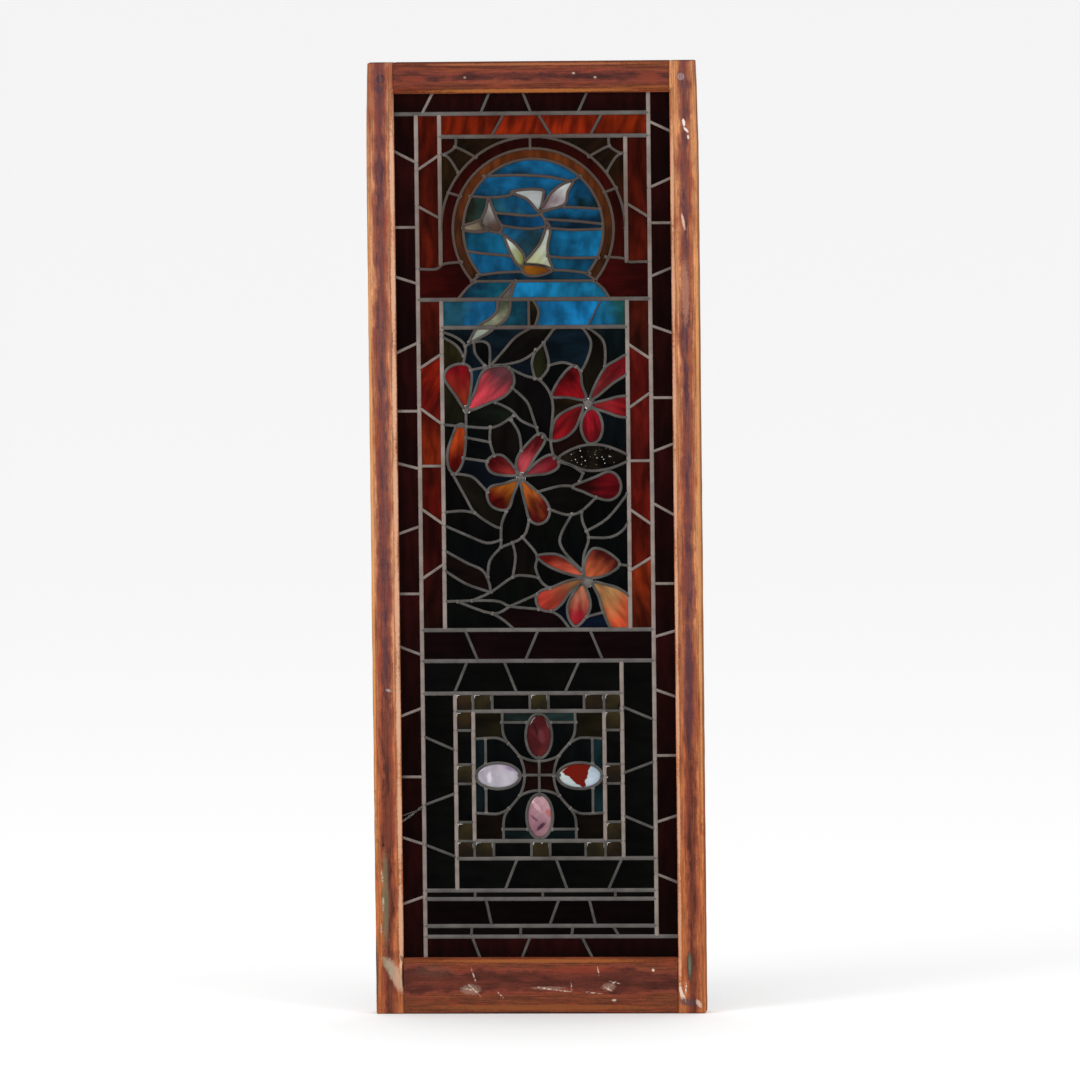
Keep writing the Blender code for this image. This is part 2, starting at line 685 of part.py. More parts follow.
def lead_came(collection, finish):
    """All the cames, soldered into one net: an H section along the framing, a flange elsewhere."""
    rear = joined(framing_bands(CAME))
    heart = joined(framing_bands(HEART, HEART / 4))
    thin = [band for path, closed in picture_leads() for band in bands(path, THIN_CAME, closed)]
    solder = [oval(x, z, radius, radius) for x, z, radius in HUBS.values()]
    front = joined(framing_bands(CAME) + thin + solder, LEAD_SLACK)
    solid = Layers()
    solid.cap(PANEL_FRONT, front)
    solid.walls(PANEL_FRONT, FLANGE_BACK, front)
    solid.cap(FLANGE_BACK, front, heart)
    solid.walls(FLANGE_BACK, REAR_FLANGE, heart)
    solid.cap(REAR_FLANGE, rear, heart)
    solid.walls(REAR_FLANGE, PANEL_BACK, rear)
    solid.cap(PANEL_BACK, rear)
    return place(solid.finish("lead_came"), collection, finish)


# Glass: one sheet for each area, cut where the framing's hearts stand. The leads inside an
# area lie on its face, so its panes are one sheet here.
GLASS_KINDS = {
    "ruby": ((0.10, 0.012, 0.012), 0.12),
    "amber": ((0.62, 0.16, 0.02), 0.12),
    "deep_red": ((0.22, 0.02, 0.015), 0.12),
    "brown": ((0.20, 0.09, 0.03), 0.15),
    "sky": ((0.03, 0.33, 0.62), 0.12),
    "white": ((0.85, 0.84, 0.80), 0.2),
    "leaf": ((0.035, 0.06, 0.05), 0.15),
    "rose": ((0.75, 0.12, 0.14), 0.15),
    "orange": ((0.80, 0.28, 0.08), 0.15),
    "scarlet": ((0.62, 0.03, 0.04), 0.12),
    "pebbled": ((0.12, 0.10, 0.08), 0.4),
    "bottle_green": ((0.02, 0.035, 0.03), 0.12),
    "jewel": ((0.22, 0.15, 0.05), 0.2),
}

# Each sheet is named after a spot inside it: (name, glass, x, z).
SHEETS = [
    ("glass_border_top", "ruby", -170, 1275),
    ("glass_border_left", "ruby", -178, 700),
    ("glass_border_right", "ruby", 178, 700),
    ("glass_border_bottom", "ruby", 0, 92),
    ("glass_amber_top", "amber", 0, 1244),
    ("glass_amber_upper_left", "amber", -146, 1100),
    ("glass_amber_upper_right", "amber", 146, 1100),
    ("glass_amber_lower_left", "amber", -146, 700),
    ("glass_amber_lower_right", "amber", 146, 700),
    ("glass_spandrel_left", "brown", -115, 1215),
    ("glass_spandrel_right", "brown", 115, 1215),
    ("glass_arch_outer_ring", "deep_red", 0, ARCH_Z + (ARCH_OUTER + ARCH_MIDDLE) / 2),
    ("glass_arch_inner_ring", "brown", 0, ARCH_Z + (ARCH_MIDDLE + ARCH_INNER) / 2),
    ("glass_sky", "sky", 60, 1085),
    ("glass_bird_high", "white", 30, 1147),
    ("glass_bird_left", "white", -55, 1110),
    ("glass_bird_low", "white", 12, 1060),
    ("glass_shoulder_left", "deep_red", -140, 1025),
    ("glass_shoulder_right", "deep_red", 140, 1025),
    ("glass_sky_foot", "sky", 40, 1014),
    ("glass_water_band", "sky", 50, 980),
    ("glass_flower_ground", "leaf", 0, 870),
    ("glass_flower_pink", "rose", -110, 890),
    ("glass_flower_orange_bell", "orange", -115, 790),
    ("glass_flower_red", "scarlet", 78, 822),
    ("glass_flower_middle", "scarlet", 0, 800),
    ("glass_flower_low", "orange", 55, 570),
    ("glass_bud", "scarlet", 90, 740),
    ("glass_leaf_pebbled", "pebbled", 80, 777),
    ("glass_strip_upper", "deep_red", 0, 515),
    ("glass_green_top", "bottle_green", 0, 470),
    ("glass_green_left", "bottle_green", -140, 300),
    ("glass_green_right", "bottle_green", 140, 350),
    ("glass_green_bottom", "bottle_green", 0, 195),
    ("glass_jewel_ring", "jewel", -104, 333),
    ("glass_quatrefoil", "leaf", 70, 400),
    ("glass_oval_top", "rose", 0, QUATREFOIL_Z + 56),
    ("glass_oval_left", "white", -58, QUATREFOIL_Z),
    ("glass_oval_right", "white", 57, QUATREFOIL_Z),
    ("glass_oval_bottom", "white", 0, QUATREFOIL_Z - 57),
    ("glass_thin_upper", "bottle_green", 0, 166),
    ("glass_strip_lower", "deep_red", 0, 141),
    ("glass_thin_lower", "bottle_green", 0, 114.5),
]


def bird_outline(name):
    return max(joined(coarse(BIRDS[name]) + WING_JOINTS.get(name, []), JOINT_SLACK), key=len)


def picture_joints():
    """The lines that part one sheet from its neighbour inside the picture."""
    arcs = [circle_arc(radius, start, end, ARC_STEPS) for radius, start, end in arch_arcs()]
    feet = SILL_LEADS[:2] + SKY_FOOT_LEADS
    rounds = [flower_outline(name) for name in FLOWERS]
    rounds += [bird_outline(name) for name in BIRDS]
    rounds += list(ovals().values())
    cuts = [band for path in arcs + feet for band in bands(path, 2 * FIT)]
    return cuts + [band for path in rounds for band in bands(path, 2 * FIT, True)]


def sheet_loops():
    """For each sheet, its outline with any holes, found from the spot inside it."""
    gaps = joined(framing_bands(HEART + 2 * FIT) + picture_joints(), SLACK)
    points, triangles = triangulate(gaps)
    filled = within(middles(points, triangles), gaps)
    hull = max(gaps, key=lambda loop: max(x for x, _ in loop))
    inner = inside(middles(points, triangles), hull)
    glass = [face for face, lead, held in zip(triangles, filled, inner) if held and not lead]
    sheets = {}
    for group in connected(glass):
        loops = outline(points, group)
        for name, _, x, z in SHEETS:
            if within(np.array([[x, z]]), loops)[0]:
                sheets[name] = [straightened(loop, SHEET_SLACK) for loop in loops]
    return sheets


def flat_sheet(name, loops, thick, depth):
    """A flat outline with holes, standing in the XZ plane at a depth."""
    curve = bpy.data.curves.new(name, "CURVE")
    curve.dimensions = "2D"
    curve.fill_mode = "BOTH"
    curve.extrude = thick / 2 * MM
    for loop in loops:
        spline = curve.splines.new("POLY")
        spline.points.add(len(loop) - 1)
        for point, (x, z) in zip(spline.points, loop):
            point.co = (x * MM, z * MM, 0, 1)
        spline.use_cyclic_u = True
    obj = bpy.data.objects.new(name, curve)
    obj.rotation_euler.x = math.pi / 2
    obj.location.y = depth * MM
    return obj


def glass_sheets(collection):
    finishes = {
        kind: material(f"glass_{kind}", colour, roughness)
        for kind, (colour, roughness) in GLASS_KINDS.items()
    }
    found = sheet_loops()
    for name, kind, _, _ in SHEETS:
        place(flat_sheet(name, found[name], GLASS, GLASS_MIDDLE), collection, finishes[kind])


# The wooden sash.
def block(name, x, y, z):
    """A box between three pairs of millimetres."""
    bpy.ops.mesh.primitive_cube_add(size=1)
    obj = bpy.context.object
    obj.name = name
    spans = (x, y, z)
    obj.location = [sum(span) / 2 * MM for span in spans]
    obj.scale = [(span[1] - span[0]) * MM for span in spans]
    bpy.ops.object.transform_apply(location=True, rotation=True, scale=True)
    for holder in obj.users_collection:
        holder.objects.unlink(obj)
    return obj


def cutter(obj, collection):
    obj.hide_render = True
    obj.display_type = "WIRE"
    collection.objects.link(obj)
    return obj


def sight_cutter(collection):
    """The sight opening through the wood, widened by a chamfer towards the front."""
    cut = block("sight_cutter", (-SIGHT, SIGHT), (FRONT - OVERCUT, 0), (SIGHT_LOW, SIGHT_TOP))
    mesh = bmesh.new()
    mesh.from_mesh(cut.data)
    spread = STICKING + OVERCUT
    for vert in mesh.verts:
        if vert.co.y > (FRONT + STICKING) * MM:
            vert.co.y = (FRONT + STICKING) * MM
        else:
            vert.co.x += math.copysign(spread, vert.co.x) * MM
            middle = (SIGHT_LOW + SIGHT_TOP) / 2 * MM
            vert.co.z += math.copysign(spread, vert.co.z - middle) * MM
    mesh.to_mesh(cut.data)
    mesh.free()
    return cutter(cut, collection)


def cut_by(obj, tools):
    for tool in tools:
        boolean = obj.modifiers.new(tool.name, "BOOLEAN")
        boolean.operation = "DIFFERENCE"
        boolean.object = tool


def worn(obj):
    bevel = obj.modifiers.new("worn_arris", "BEVEL")
    bevel.width = ARRIS * MM
    bevel.segments = 1
    bevel.limit_method = "ANGLE"


def sash(collection, tools, finish):
    """Stiles the full height of the sash, with the rails between them."""
    rebate = (SIGHT + REBATE, SIGHT_LOW - REBATE, SIGHT_TOP + REBATE)
    chamfer = sight_cutter(tools)
    pocket = cutter(
        block("rebate_cutter", (-rebate[0], rebate[0]), (REBATE_FACE, BACK + OVERCUT), rebate[1:]), tools
    )
    depth = (FRONT, BACK)
    half = SASH_WIDTH / 2
    members = [
        block("stile_left", (-half, -SIGHT), depth, (0, SASH_HEIGHT)),
        block("stile_right", (SIGHT, half), depth, (0, SASH_HEIGHT)),
        block("rail_bottom", (-SIGHT + FIT, SIGHT - FIT), depth, (0, BOTTOM_RAIL)),
        block("rail_top", (-SIGHT + FIT, SIGHT - FIT), depth, (SIGHT_TOP, SASH_HEIGHT)),
    ]
    for member in members:
        worn(member)
        cut_by(member, [chamfer, pocket])
        place(member, collection, finish)
    return members


def round_bar(name, radius, x, z, start, end):
    """A round bar through the thickness, from one depth to another."""
    bpy.ops.mesh.primitive_cylinder_add(
        vertices=12,
        radius=radius * MM,
        depth=(end - start) * MM,
        location=(x * MM, (start + end) / 2 * MM, z * MM),
        rotation=(math.pi / 2, 0, 0),
    )
    bar = bpy.context.object
    bar.name = name
    for holder in bar.users_collection:
        holder.objects.unlink(bar)
    return bar


def pegs(members, collection, tools, finish):
    """A round peg through each top joint, with its end flush in the stile's face."""
    end = FRONT + PEG_LENGTH
    for stile, side, name in ((members[0], -1, "peg_left"), (members[1], 1, "peg_right")):
        x, z = side * (SASH_WIDTH / 2 - PEG_INSET), SASH_HEIGHT - PEG_INSET
        place(round_bar(name, PEG_RADIUS, x, z, FRONT, end), collection, finish)
        reach = (FRONT - OVERCUT, end + FIT)
        bore = round_bar(f"{stile.name}_bore", PEG_RADIUS + FIT, x, z, *reach)
        cut_by(stile, [cutter(bore, tools)])


def beads(collection, finish):
    """Square beads with one chamfered edge, which hold the panel in its rebate."""
    near = PANEL_BACK + FIT
    far = near + BEAD_DEPTH
    x, low, top = SIGHT + REBATE - FIT, SIGHT_LOW - REBATE + FIT, SIGHT_TOP + REBATE - FIT
    inner = x - BEAD_WIDTH - FIT
    pieces = [
        (block("bead_left", (-x, -x + BEAD_WIDTH), (near, far), (low, top)), 1, 0),
        (block("bead_right", (x - BEAD_WIDTH, x), (near, far), (low, top)), -1, 0),
        (block("bead_bottom", (-inner, inner), (near, far), (low, low + BEAD_WIDTH)), 0, 1),
        (block("bead_top", (-inner, inner), (near, far), (top - BEAD_WIDTH, top)), 0, -1),
    ]
    for bead, x_side, z_side in pieces:
        mesh = bmesh.new()
        mesh.from_mesh(bead.data)
        mesh.edges.ensure_lookup_table()

        def inmost(vert):
            return vert.co.x * x_side + vert.co.z * z_side

        best = max(inmost(v) for v in mesh.verts)
        edges = [
            e for e in mesh.edges
            if all(inmost(v) > best - 1e-6 and v.co.y > (far - 0.1) * MM for v in e.verts)
        ]
        bmesh.ops.bevel(mesh, geom=edges, offset=BEAD_CHAMFER * MM, segments=1, affect="EDGES")
        mesh.to_mesh(bead.data)
        mesh.free()
        place(bead, collection, finish)


def clear_scene():
    for obj in list(bpy.data.objects):
        bpy.data.objects.remove(obj)


def new_collection(name):
    made = bpy.data.collections.new(name)
    bpy.context.scene.collection.children.link(made)
    return made


def main():
    clear_scene()
    window = new_collection("stained_glass_window")
    tools = new_collection("cutters")
    wood = material("varnished_wood", (0.28, 0.11, 0.05), 0.45)
    peg_wood = material("peg_wood", (0.13, 0.08, 0.07), 0.6)
    lead = material("lead", (0.30, 0.27, 0.25), 0.55, 0.6)
    members = sash(window, tools, wood)
    pegs(members, window, tools, peg_wood)
    beads(window, wood)
    lead_came(window, lead)
    glass_sheets(window)


if __name__ == "__main__":
    main()
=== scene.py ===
# %% [markdown]
# # A leaded stained glass window
# Coloured panes are held by lead cames in a pegged wooden sash. The beads and pegs only get a
# finish here, and the four members of the sash keep their form and get worn edges. The glass and
# lead get new, finer shapes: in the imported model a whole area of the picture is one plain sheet.

import json
import math
import random

import bmesh
import bpy
import numpy as np
from mathutils import Matrix, Vector, noise
from mathutils.geometry import delaunay_2d_cdt

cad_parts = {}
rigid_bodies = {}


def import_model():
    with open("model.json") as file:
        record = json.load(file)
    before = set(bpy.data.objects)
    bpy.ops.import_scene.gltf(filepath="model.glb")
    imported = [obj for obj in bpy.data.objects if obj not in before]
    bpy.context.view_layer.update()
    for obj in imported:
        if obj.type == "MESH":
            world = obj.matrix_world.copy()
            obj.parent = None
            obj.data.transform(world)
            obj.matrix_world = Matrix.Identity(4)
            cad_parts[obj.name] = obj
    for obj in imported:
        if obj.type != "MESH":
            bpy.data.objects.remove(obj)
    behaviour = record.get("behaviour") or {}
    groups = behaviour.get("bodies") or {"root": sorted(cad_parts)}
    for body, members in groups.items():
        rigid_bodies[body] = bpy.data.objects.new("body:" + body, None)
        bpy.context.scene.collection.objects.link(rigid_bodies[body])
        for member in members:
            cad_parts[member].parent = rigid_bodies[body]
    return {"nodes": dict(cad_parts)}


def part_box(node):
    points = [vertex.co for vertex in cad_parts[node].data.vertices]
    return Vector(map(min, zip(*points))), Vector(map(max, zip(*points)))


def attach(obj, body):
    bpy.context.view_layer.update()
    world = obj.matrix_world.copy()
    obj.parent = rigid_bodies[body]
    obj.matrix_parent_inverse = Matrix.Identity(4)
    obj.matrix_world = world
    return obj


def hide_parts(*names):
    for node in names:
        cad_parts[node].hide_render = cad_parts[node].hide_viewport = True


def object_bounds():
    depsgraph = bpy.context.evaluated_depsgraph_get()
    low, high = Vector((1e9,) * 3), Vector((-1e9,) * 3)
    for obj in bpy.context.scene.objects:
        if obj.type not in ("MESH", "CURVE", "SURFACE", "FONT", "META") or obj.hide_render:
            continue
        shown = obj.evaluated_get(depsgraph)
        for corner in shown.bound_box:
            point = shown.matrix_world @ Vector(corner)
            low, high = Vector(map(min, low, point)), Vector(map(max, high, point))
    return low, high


for startup in list(bpy.data.objects):
    bpy.data.objects.remove(startup)
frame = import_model()
cad_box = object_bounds()
stile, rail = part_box("stile_right"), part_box("rail_bottom")
print("solids:", len(frame["nodes"]), "box:", [tuple(round(v, 3) for v in c) for c in cad_box])

# %% [markdown]
# ## The lines of the picture
# A glazier starts from a full-size drawing that holds only lines: one for each lead. The same is
# done here, in millimetres, with X across and Z up from the sash's foot. The straight leads frame
# each area, short ones cut the borders into lengths, and the bent ones draw the picture.

# %% Sizes, in millimetres
MM = 0.001
SIGHT, SIGHT_LOW, SIGHT_TOP = 193.0, 78.5, 1288.5
OUTER_X, OUTER_TOP, OUTER_LOW = 162.5, 1260.0, 107.0
INNER_X, BAND_TOP, SHOULDER, SILL = 130.0, 1228.0, 1049.0, 1000.5
FLOWER_TOP, FLOWER_LOW, STRIP_LOW = 961.5, 538.0, 494.5
GREEN_X, GREEN_TOP, GREEN_LOW = 117.0, 449.0, 217.0
JEWEL_X, JEWEL_TOP, JEWEL_LOW = 92.0, 424.0, 241.5
THIN_TOP, THIN_LOW, RED_LOW = 172.0, 160.0, 122.0
ARCH_Z, ARCH_OUTER, ARCH_MIDDLE, ARCH_INNER = 1098.5, 129.0, 112.5, 98.0
QUATREFOIL_Z = 333.0
UNDER_WOOD = 4.0
CAME, THIN_CAME, REPAIR_CAME, HEART = 5.7, 3.9, 1.9, 1.6


def line(x0, z0, x1, z1):
    return [(x0, z0), (x1, z1)]


def level(half, z):
    return line(-half, z, half, z)


def cuts_across(cuts, outer_x, inner_x):
    return [line(outer_x, a, inner_x, b) for a, b in cuts]


def cuts_down(cuts, top, low):
    return [line(a, top, b, low) for a, b in cuts]

# %% [markdown]
# ### Framing leads
# These run straight through from edge to edge, so they are wider: they stiffen the panel.

# %% Straight leads
EDGE = SIGHT + UNDER_WOOD
framing = [
    line(-OUTER_X, SIGHT_LOW - UNDER_WOOD, -OUTER_X, OUTER_TOP),
    line(-EDGE, OUTER_TOP, OUTER_X, OUTER_TOP),
    line(OUTER_X, SIGHT_TOP + UNDER_WOOD, OUTER_X, OUTER_LOW),
    line(-OUTER_X, OUTER_LOW, EDGE, OUTER_LOW),
    line(-INNER_X, BAND_TOP, OUTER_X, BAND_TOP),
    line(-INNER_X, OUTER_TOP, -INNER_X, SHOULDER),
    line(INNER_X, BAND_TOP, INNER_X, SHOULDER + 4),
    level(OUTER_X, SILL),
    line(-INNER_X, SILL, -INNER_X, FLOWER_LOW),
    line(INNER_X, SILL, INNER_X, FLOWER_LOW),
    level(INNER_X, FLOWER_TOP),
    level(OUTER_X, FLOWER_LOW),
    level(OUTER_X, STRIP_LOW),
    line(-OUTER_X, GREEN_TOP, GREEN_X, GREEN_TOP),
    line(GREEN_X, STRIP_LOW, GREEN_X, GREEN_LOW),
    line(OUTER_X, GREEN_LOW, -GREEN_X, GREEN_LOW),
    line(-GREEN_X, GREEN_TOP, -GREEN_X, THIN_TOP),
    level(OUTER_X, THIN_TOP),
    level(OUTER_X, THIN_LOW),
    level(OUTER_X, RED_LOW),
    level(JEWEL_X, JEWEL_LOW),
    level(JEWEL_X, JEWEL_TOP),
    line(-JEWEL_X, JEWEL_LOW, -JEWEL_X, JEWEL_TOP),
    line(JEWEL_X, JEWEL_LOW, JEWEL_X, JEWEL_TOP),
]
print("straight framing leads:", len(framing))

# %% [markdown]
# ### Border cuts
# A long strip of glass cracks, so a border is glazed in short lengths. The glazier slanted the
# joints one way and then the other, which makes a zigzag down each side. Each pair below is where
# a cut meets the strip's outer lead, and where it meets the inner one.

# %% Short leads across the borders
border_cuts = (
    cuts_across(
        [(1210, 1192), (1102, 1102), (1034, 1023), (925, 941), (845, 845), (773, 764),
         (672, 684), (589, 589), (516, 503), (416, 429), (332, 332), (248, 237), (152, 164)],
        -EDGE, -OUTER_X)
    + cuts_across(
        [(1232, 1248), (1170, 1155), (1106, 1106), (1045, 1031), (951, 963), (862, 862),
         (799, 786), (696, 715), (602, 602), (537, 527), (442, 454), (361, 361), (278, 267),
         (181, 195)],
        EDGE, OUTER_X)
    + cuts_down([(-137, -154), (-58, -72), (-14, -1), (79, 64)], SIGHT_TOP + UNDER_WOOD, OUTER_TOP)
    + cuts_down([(-85, -97), (-28, -15), (73, 57)], SIGHT_LOW - UNDER_WOOD, OUTER_LOW)
)
inner_cuts = (
    cuts_down([(-39, -57), (8, 27), (98, 81)], OUTER_TOP, BAND_TOP)
    + cuts_across(
        [(1181, 1203), (1132, 1114), (904, 925), (850, 826), (768, 768), (709, 686), (609, 631)],
        -OUTER_X, -INNER_X)
    + cuts_across(
        [(1114, 1134), (916, 938), (870, 847), (774, 774), (684, 707), (640, 620)],
        OUTER_X, INNER_X)
    + cuts_down([(-102, -84), (1, -18), (73, 91)], FLOWER_LOW, STRIP_LOW)
    + cuts_down([(-99, -118), (-48, -30), (58, 37)], STRIP_LOW, GREEN_TOP)
    + cuts_across([(411, 430), (353, 336), (258, 277)], OUTER_X, GREEN_X)
    + cuts_across([(389, 369), (292, 309), (237, 219)], -OUTER_X, -GREEN_X)
    + cuts_down([(-32, -50), (22, 38), (115, 95)], GREEN_LOW, THIN_TOP)
    + cuts_down([(-92, -92), (3, 3), (105, 105)], THIN_TOP, THIN_LOW)
    + cuts_down([(-77, -69), (26, 12), (68, 77)], THIN_LOW, RED_LOW)
    + cuts_down([(-97, -98), (-28, -29), (45, 43), (101, 110)], RED_LOW, OUTER_LOW)
)
repair_leads = [line(-EDGE, 266, -OUTER_X, 292), line(-EDGE, 276, -OUTER_X, 288),
                line(94, SILL, 74.5, FLOWER_TOP)]
print("short leads:", len(border_cuts) + len(inner_cuts))

# %% [markdown]
# ### The arch
# Three rings of lead hold a dark outer ring and a brown inner one round the sky.

# %% Rings of the arch
RING_STEPS = 48


def ring_arc(radius, start, end):
    """Points round the arch's middle, with angles in degrees counted from +X towards +Z."""
    angles = [math.radians(start + (end - start) * i / RING_STEPS) for i in range(RING_STEPS + 1)]
    return [(radius * math.cos(a), ARCH_Z + radius * math.sin(a)) for a in angles]


arch_rings = [
    ring_arc(ARCH_OUTER, 0, 180),
    ring_arc(ARCH_MIDDLE, -39.5, 219.5),
    ring_arc(ARCH_INNER, -40, 220),
]
ring_cuts = [
    line(-3, ARCH_Z + ARCH_OUTER, -3, ARCH_Z + ARCH_MIDDLE),
    line(-118, 1150, -101, 1145),
    line(117, 1155, 100, 1149),
]

# %% [markdown]
# ### Sky and spandrels
# The sky is glazed in long bands, and a bird crosses from its foot into the water. The spandrels'
# leads are drawn on the left and mirrored.

# %% Sky, sill and spandrel leads
SKY_LEADS = [
    [(-68, 1173), (-20, 1174), (16, 1172), (38, 1168), (56, 1165)],
    [(56, 1165), (67, 1172)],
    [(-88, 1145), (-60, 1143), (-36, 1145), (-27, 1149)],
    [(44, 1129), (66, 1128), (94, 1126)],
    [(16, 1112), (60, 1109), (97, 1105)],
    [(21, 1100), (55, 1097), (97, 1098)],
    [(-52, 1121), (-36, 1120), (-18, 1118), (0, 1117), (12, 1119)],
    [(-44, 1104), (-22, 1100), (0, 1099), (17, 1102)],
    [(9, 1124), (17, 1109), (18, 1101)],
    [(-47, 1094), (-39, 1088)],
    [(-92, 1068), (-72, 1065), (-50, 1063), (-31, 1061)],
    [(20, 1061), (42, 1058), (91, 1058)],
    [(-79, 1034), (-48, 1038), (-15, 1039)],
    [(25, 1041), (50, 1040), (78, 1036)],
]
# Where the sky ends, with the feet of the arch's inner ring.
SHOULDER_LEADS = [
    [(-162.5, 1044), (-146, 1043), (-135, 1044), (-124, 1051), (-101, 1053)],
    [(162.5, 1052), (146, 1052), (134, 1052), (125, 1057), (101, 1059)],
]
SKY_FOOT_LEADS = [
    [(-87, 1026), (87, 1026)],
    [(-75, 1035), (-87, 1026)],
    [(75, 1035), (87, 1026)],
]
LOW_BIRD_LEADS = [
    [(-25, 1026), (-30, 1013), (-33, 1000), (-34, 986), (-40, 972), (-56, 961)],
    [(-27, 1026), (-40, 1012), (-50, 1000), (-52, 985), (-62, 974), (-80, 962), (-92, 941)],
    [(-54, 962), (-64, 954), (-78, 946), (-91, 940)],
]
SILL_LEADS = [
    [(-82, 1026), (-94, 1016), (-107, SILL)],
    [(84, 1026), (97, 1015), (106, SILL)],
    line(-7.5, SILL, -7.5, FLOWER_TOP),
    [(-2, SILL), (6, 985), (4, 971), (0, FLOWER_TOP)],
]
SPANDREL_LEADS = [
    [(-130, 1203), (-120, 1205), (-108, 1214), (-107, 1228)],
    [(-108, 1214), (-95, 1208), (-79, 1199)],
    [(-123, 1203), (-115, 1196), (-104, 1178)],
]

spandrels = SPANDREL_LEADS + [[(-x, z) for x, z in path] for path in SPANDREL_LEADS]

# %% [markdown]
# ### Birds and petals
# Wings, petals and the pebbled leaf are closed lines of a few points each. They are softened into
# curves further on. A petal starts and ends at its flower's hub, where the solder covers it.

# %% Birds, flowers, bud and pebbled leaf
BIRDS = {
    "high": [
        [(-30, 1150), (-8, 1154), (13, 1153), (15, 1146), (8, 1123.5), (-8, 1140)],
        [(8, 1122), (16, 1134), (24, 1147), (40, 1160), (57, 1165), (49, 1150), (45, 1133),
         (25, 1126)],
    ],
    "left": [
        [(-62, 1142), (-56, 1127), (-50, 1113), (-43, 1101), (-49, 1094), (-62, 1097), (-71, 1104),
         (-72, 1113), (-66, 1127)],
        [(-97, 1104), (-84, 1108), (-73, 1112), (-71, 1104), (-62, 1097), (-80, 1095),
         (-97, 1098)],
    ],
    "low": [
        [(-41, 1089), (-30, 1082), (-20, 1072), (-13, 1061), (-14, 1047), (-22, 1048), (-31, 1062)],
        [(-13, 1051), (-2, 1064), (9, 1078), (15, 1092), (20, 1107), (24, 1095), (20, 1074),
         (22, 1057), (27, 1041), (14, 1047), (0, 1049)],
        [(-14, 1049), (0, 1049), (14, 1047), (26, 1041), (14, 1035), (-4, 1033), (-16, 1039)],
    ],
}
FLOWERS = {
    "pink": [
        [(-97, 848), (-112, 867), (-127, 891), (-120, 906), (-102, 911), (-90, 904), (-89, 881)],
        [(-94, 846), (-84, 873), (-75, 897), (-62, 907), (-43, 908), (-31, 898), (-30, 880),
         (-43, 865), (-64, 856)],
    ],
    "orange_bell": [
        [(-109, 825), (-118, 806), (-124, 785), (-122, 765), (-114, 757), (-105, 767), (-99, 788),
         (-98, 822)],
    ],
    "red": [
        [(71, 860), (66, 880), (64, 898), (57, 907), (48, 904), (37, 892), (27, 876), (24, 864),
         (45, 863)],
        [(77, 860), (84, 880), (98, 904), (113, 914), (131, 922), (131, 898), (110, 883),
         (88, 865)],
        [(80, 854), (102, 860), (118, 864), (132, 862), (132, 837), (117, 836), (100, 842),
         (82, 848)],
        [(74, 846), (66, 834), (64, 818), (70, 803), (78, 798), (89, 804), (94, 818), (92, 834),
         (84, 846)],
        [(67, 852), (48, 847), (31, 836), (24, 821), (23, 803), (40, 806), (54, 817), (62, 833)],
    ],
    "middle": [
        [(-24, 754), (-28, 765), (-25, 781), (-14, 796), (3, 812), (13, 810), (12, 799), (-2, 778),
         (-15, 757)],
        [(-25, 755), (-32, 768), (-46, 782), (-60, 782), (-69, 772), (-64, 760), (-50, 755)],
        [(-17, 754), (-9, 763), (4, 775), (20, 783), (31, 777), (31, 765), (17, 757), (0, 755)],
        [(-25, 748), (-45, 743), (-63, 739), (-69, 728), (-64, 713), (-50, 706), (-38, 709),
         (-32, 727)],
        [(-22, 749), (-20, 734), (-15, 712), (-10, 693), (1, 686), (13, 690), (19, 703), (14, 718),
         (1, 732), (-13, 744)],
    ],
    "low": [
        [(64, 617), (62, 612), (40, 617), (20, 625), (6, 634), (1, 642), (25, 644), (43, 636)],
        [(67, 612), (67, 631), (74, 647), (83, 652), (100, 646), (116, 631), (106, 619),
         (86, 611)],
        [(64, 610), (42, 606), (22, 598), (4, 592), (-2, 580), (4, 567), (20, 564), (34, 574),
         (47, 591), (63, 603)],
        [(62, 602), (49, 587), (42, 570), (44, 553), (53, 542), (64, 550), (73, 564), (74, 579),
         (68, 597)],
        [(78, 604), (86, 584), (92, 563), (106, 536), (132, 536), (132, 578), (117, 594),
         (97, 601)],
    ],
    "bud": [
        [(50, 738), (66, 745), (84, 752), (101, 759), (113, 754), (119, 740), (115, 726),
         (102, 719), (84, 723), (66, 731)],
    ],
    "spindle": [
        [(32, 778), (54, 792), (77, 797), (102, 794), (132, 779), (114, 767), (91, 761),
         (70, 761), (53, 767)],
    ],
}
# The solder where petals meet, as (x, z, radius).
HUBS = {"pink": (-96, 847, 4), "red": (75, 854, 6), "middle": (-21, 752, 5), "low": (70, 604, 6)}

# %% [markdown]
# ### Leaves and stems
# The rest of the flower panel is open lines: each one runs from a lead to another lead.

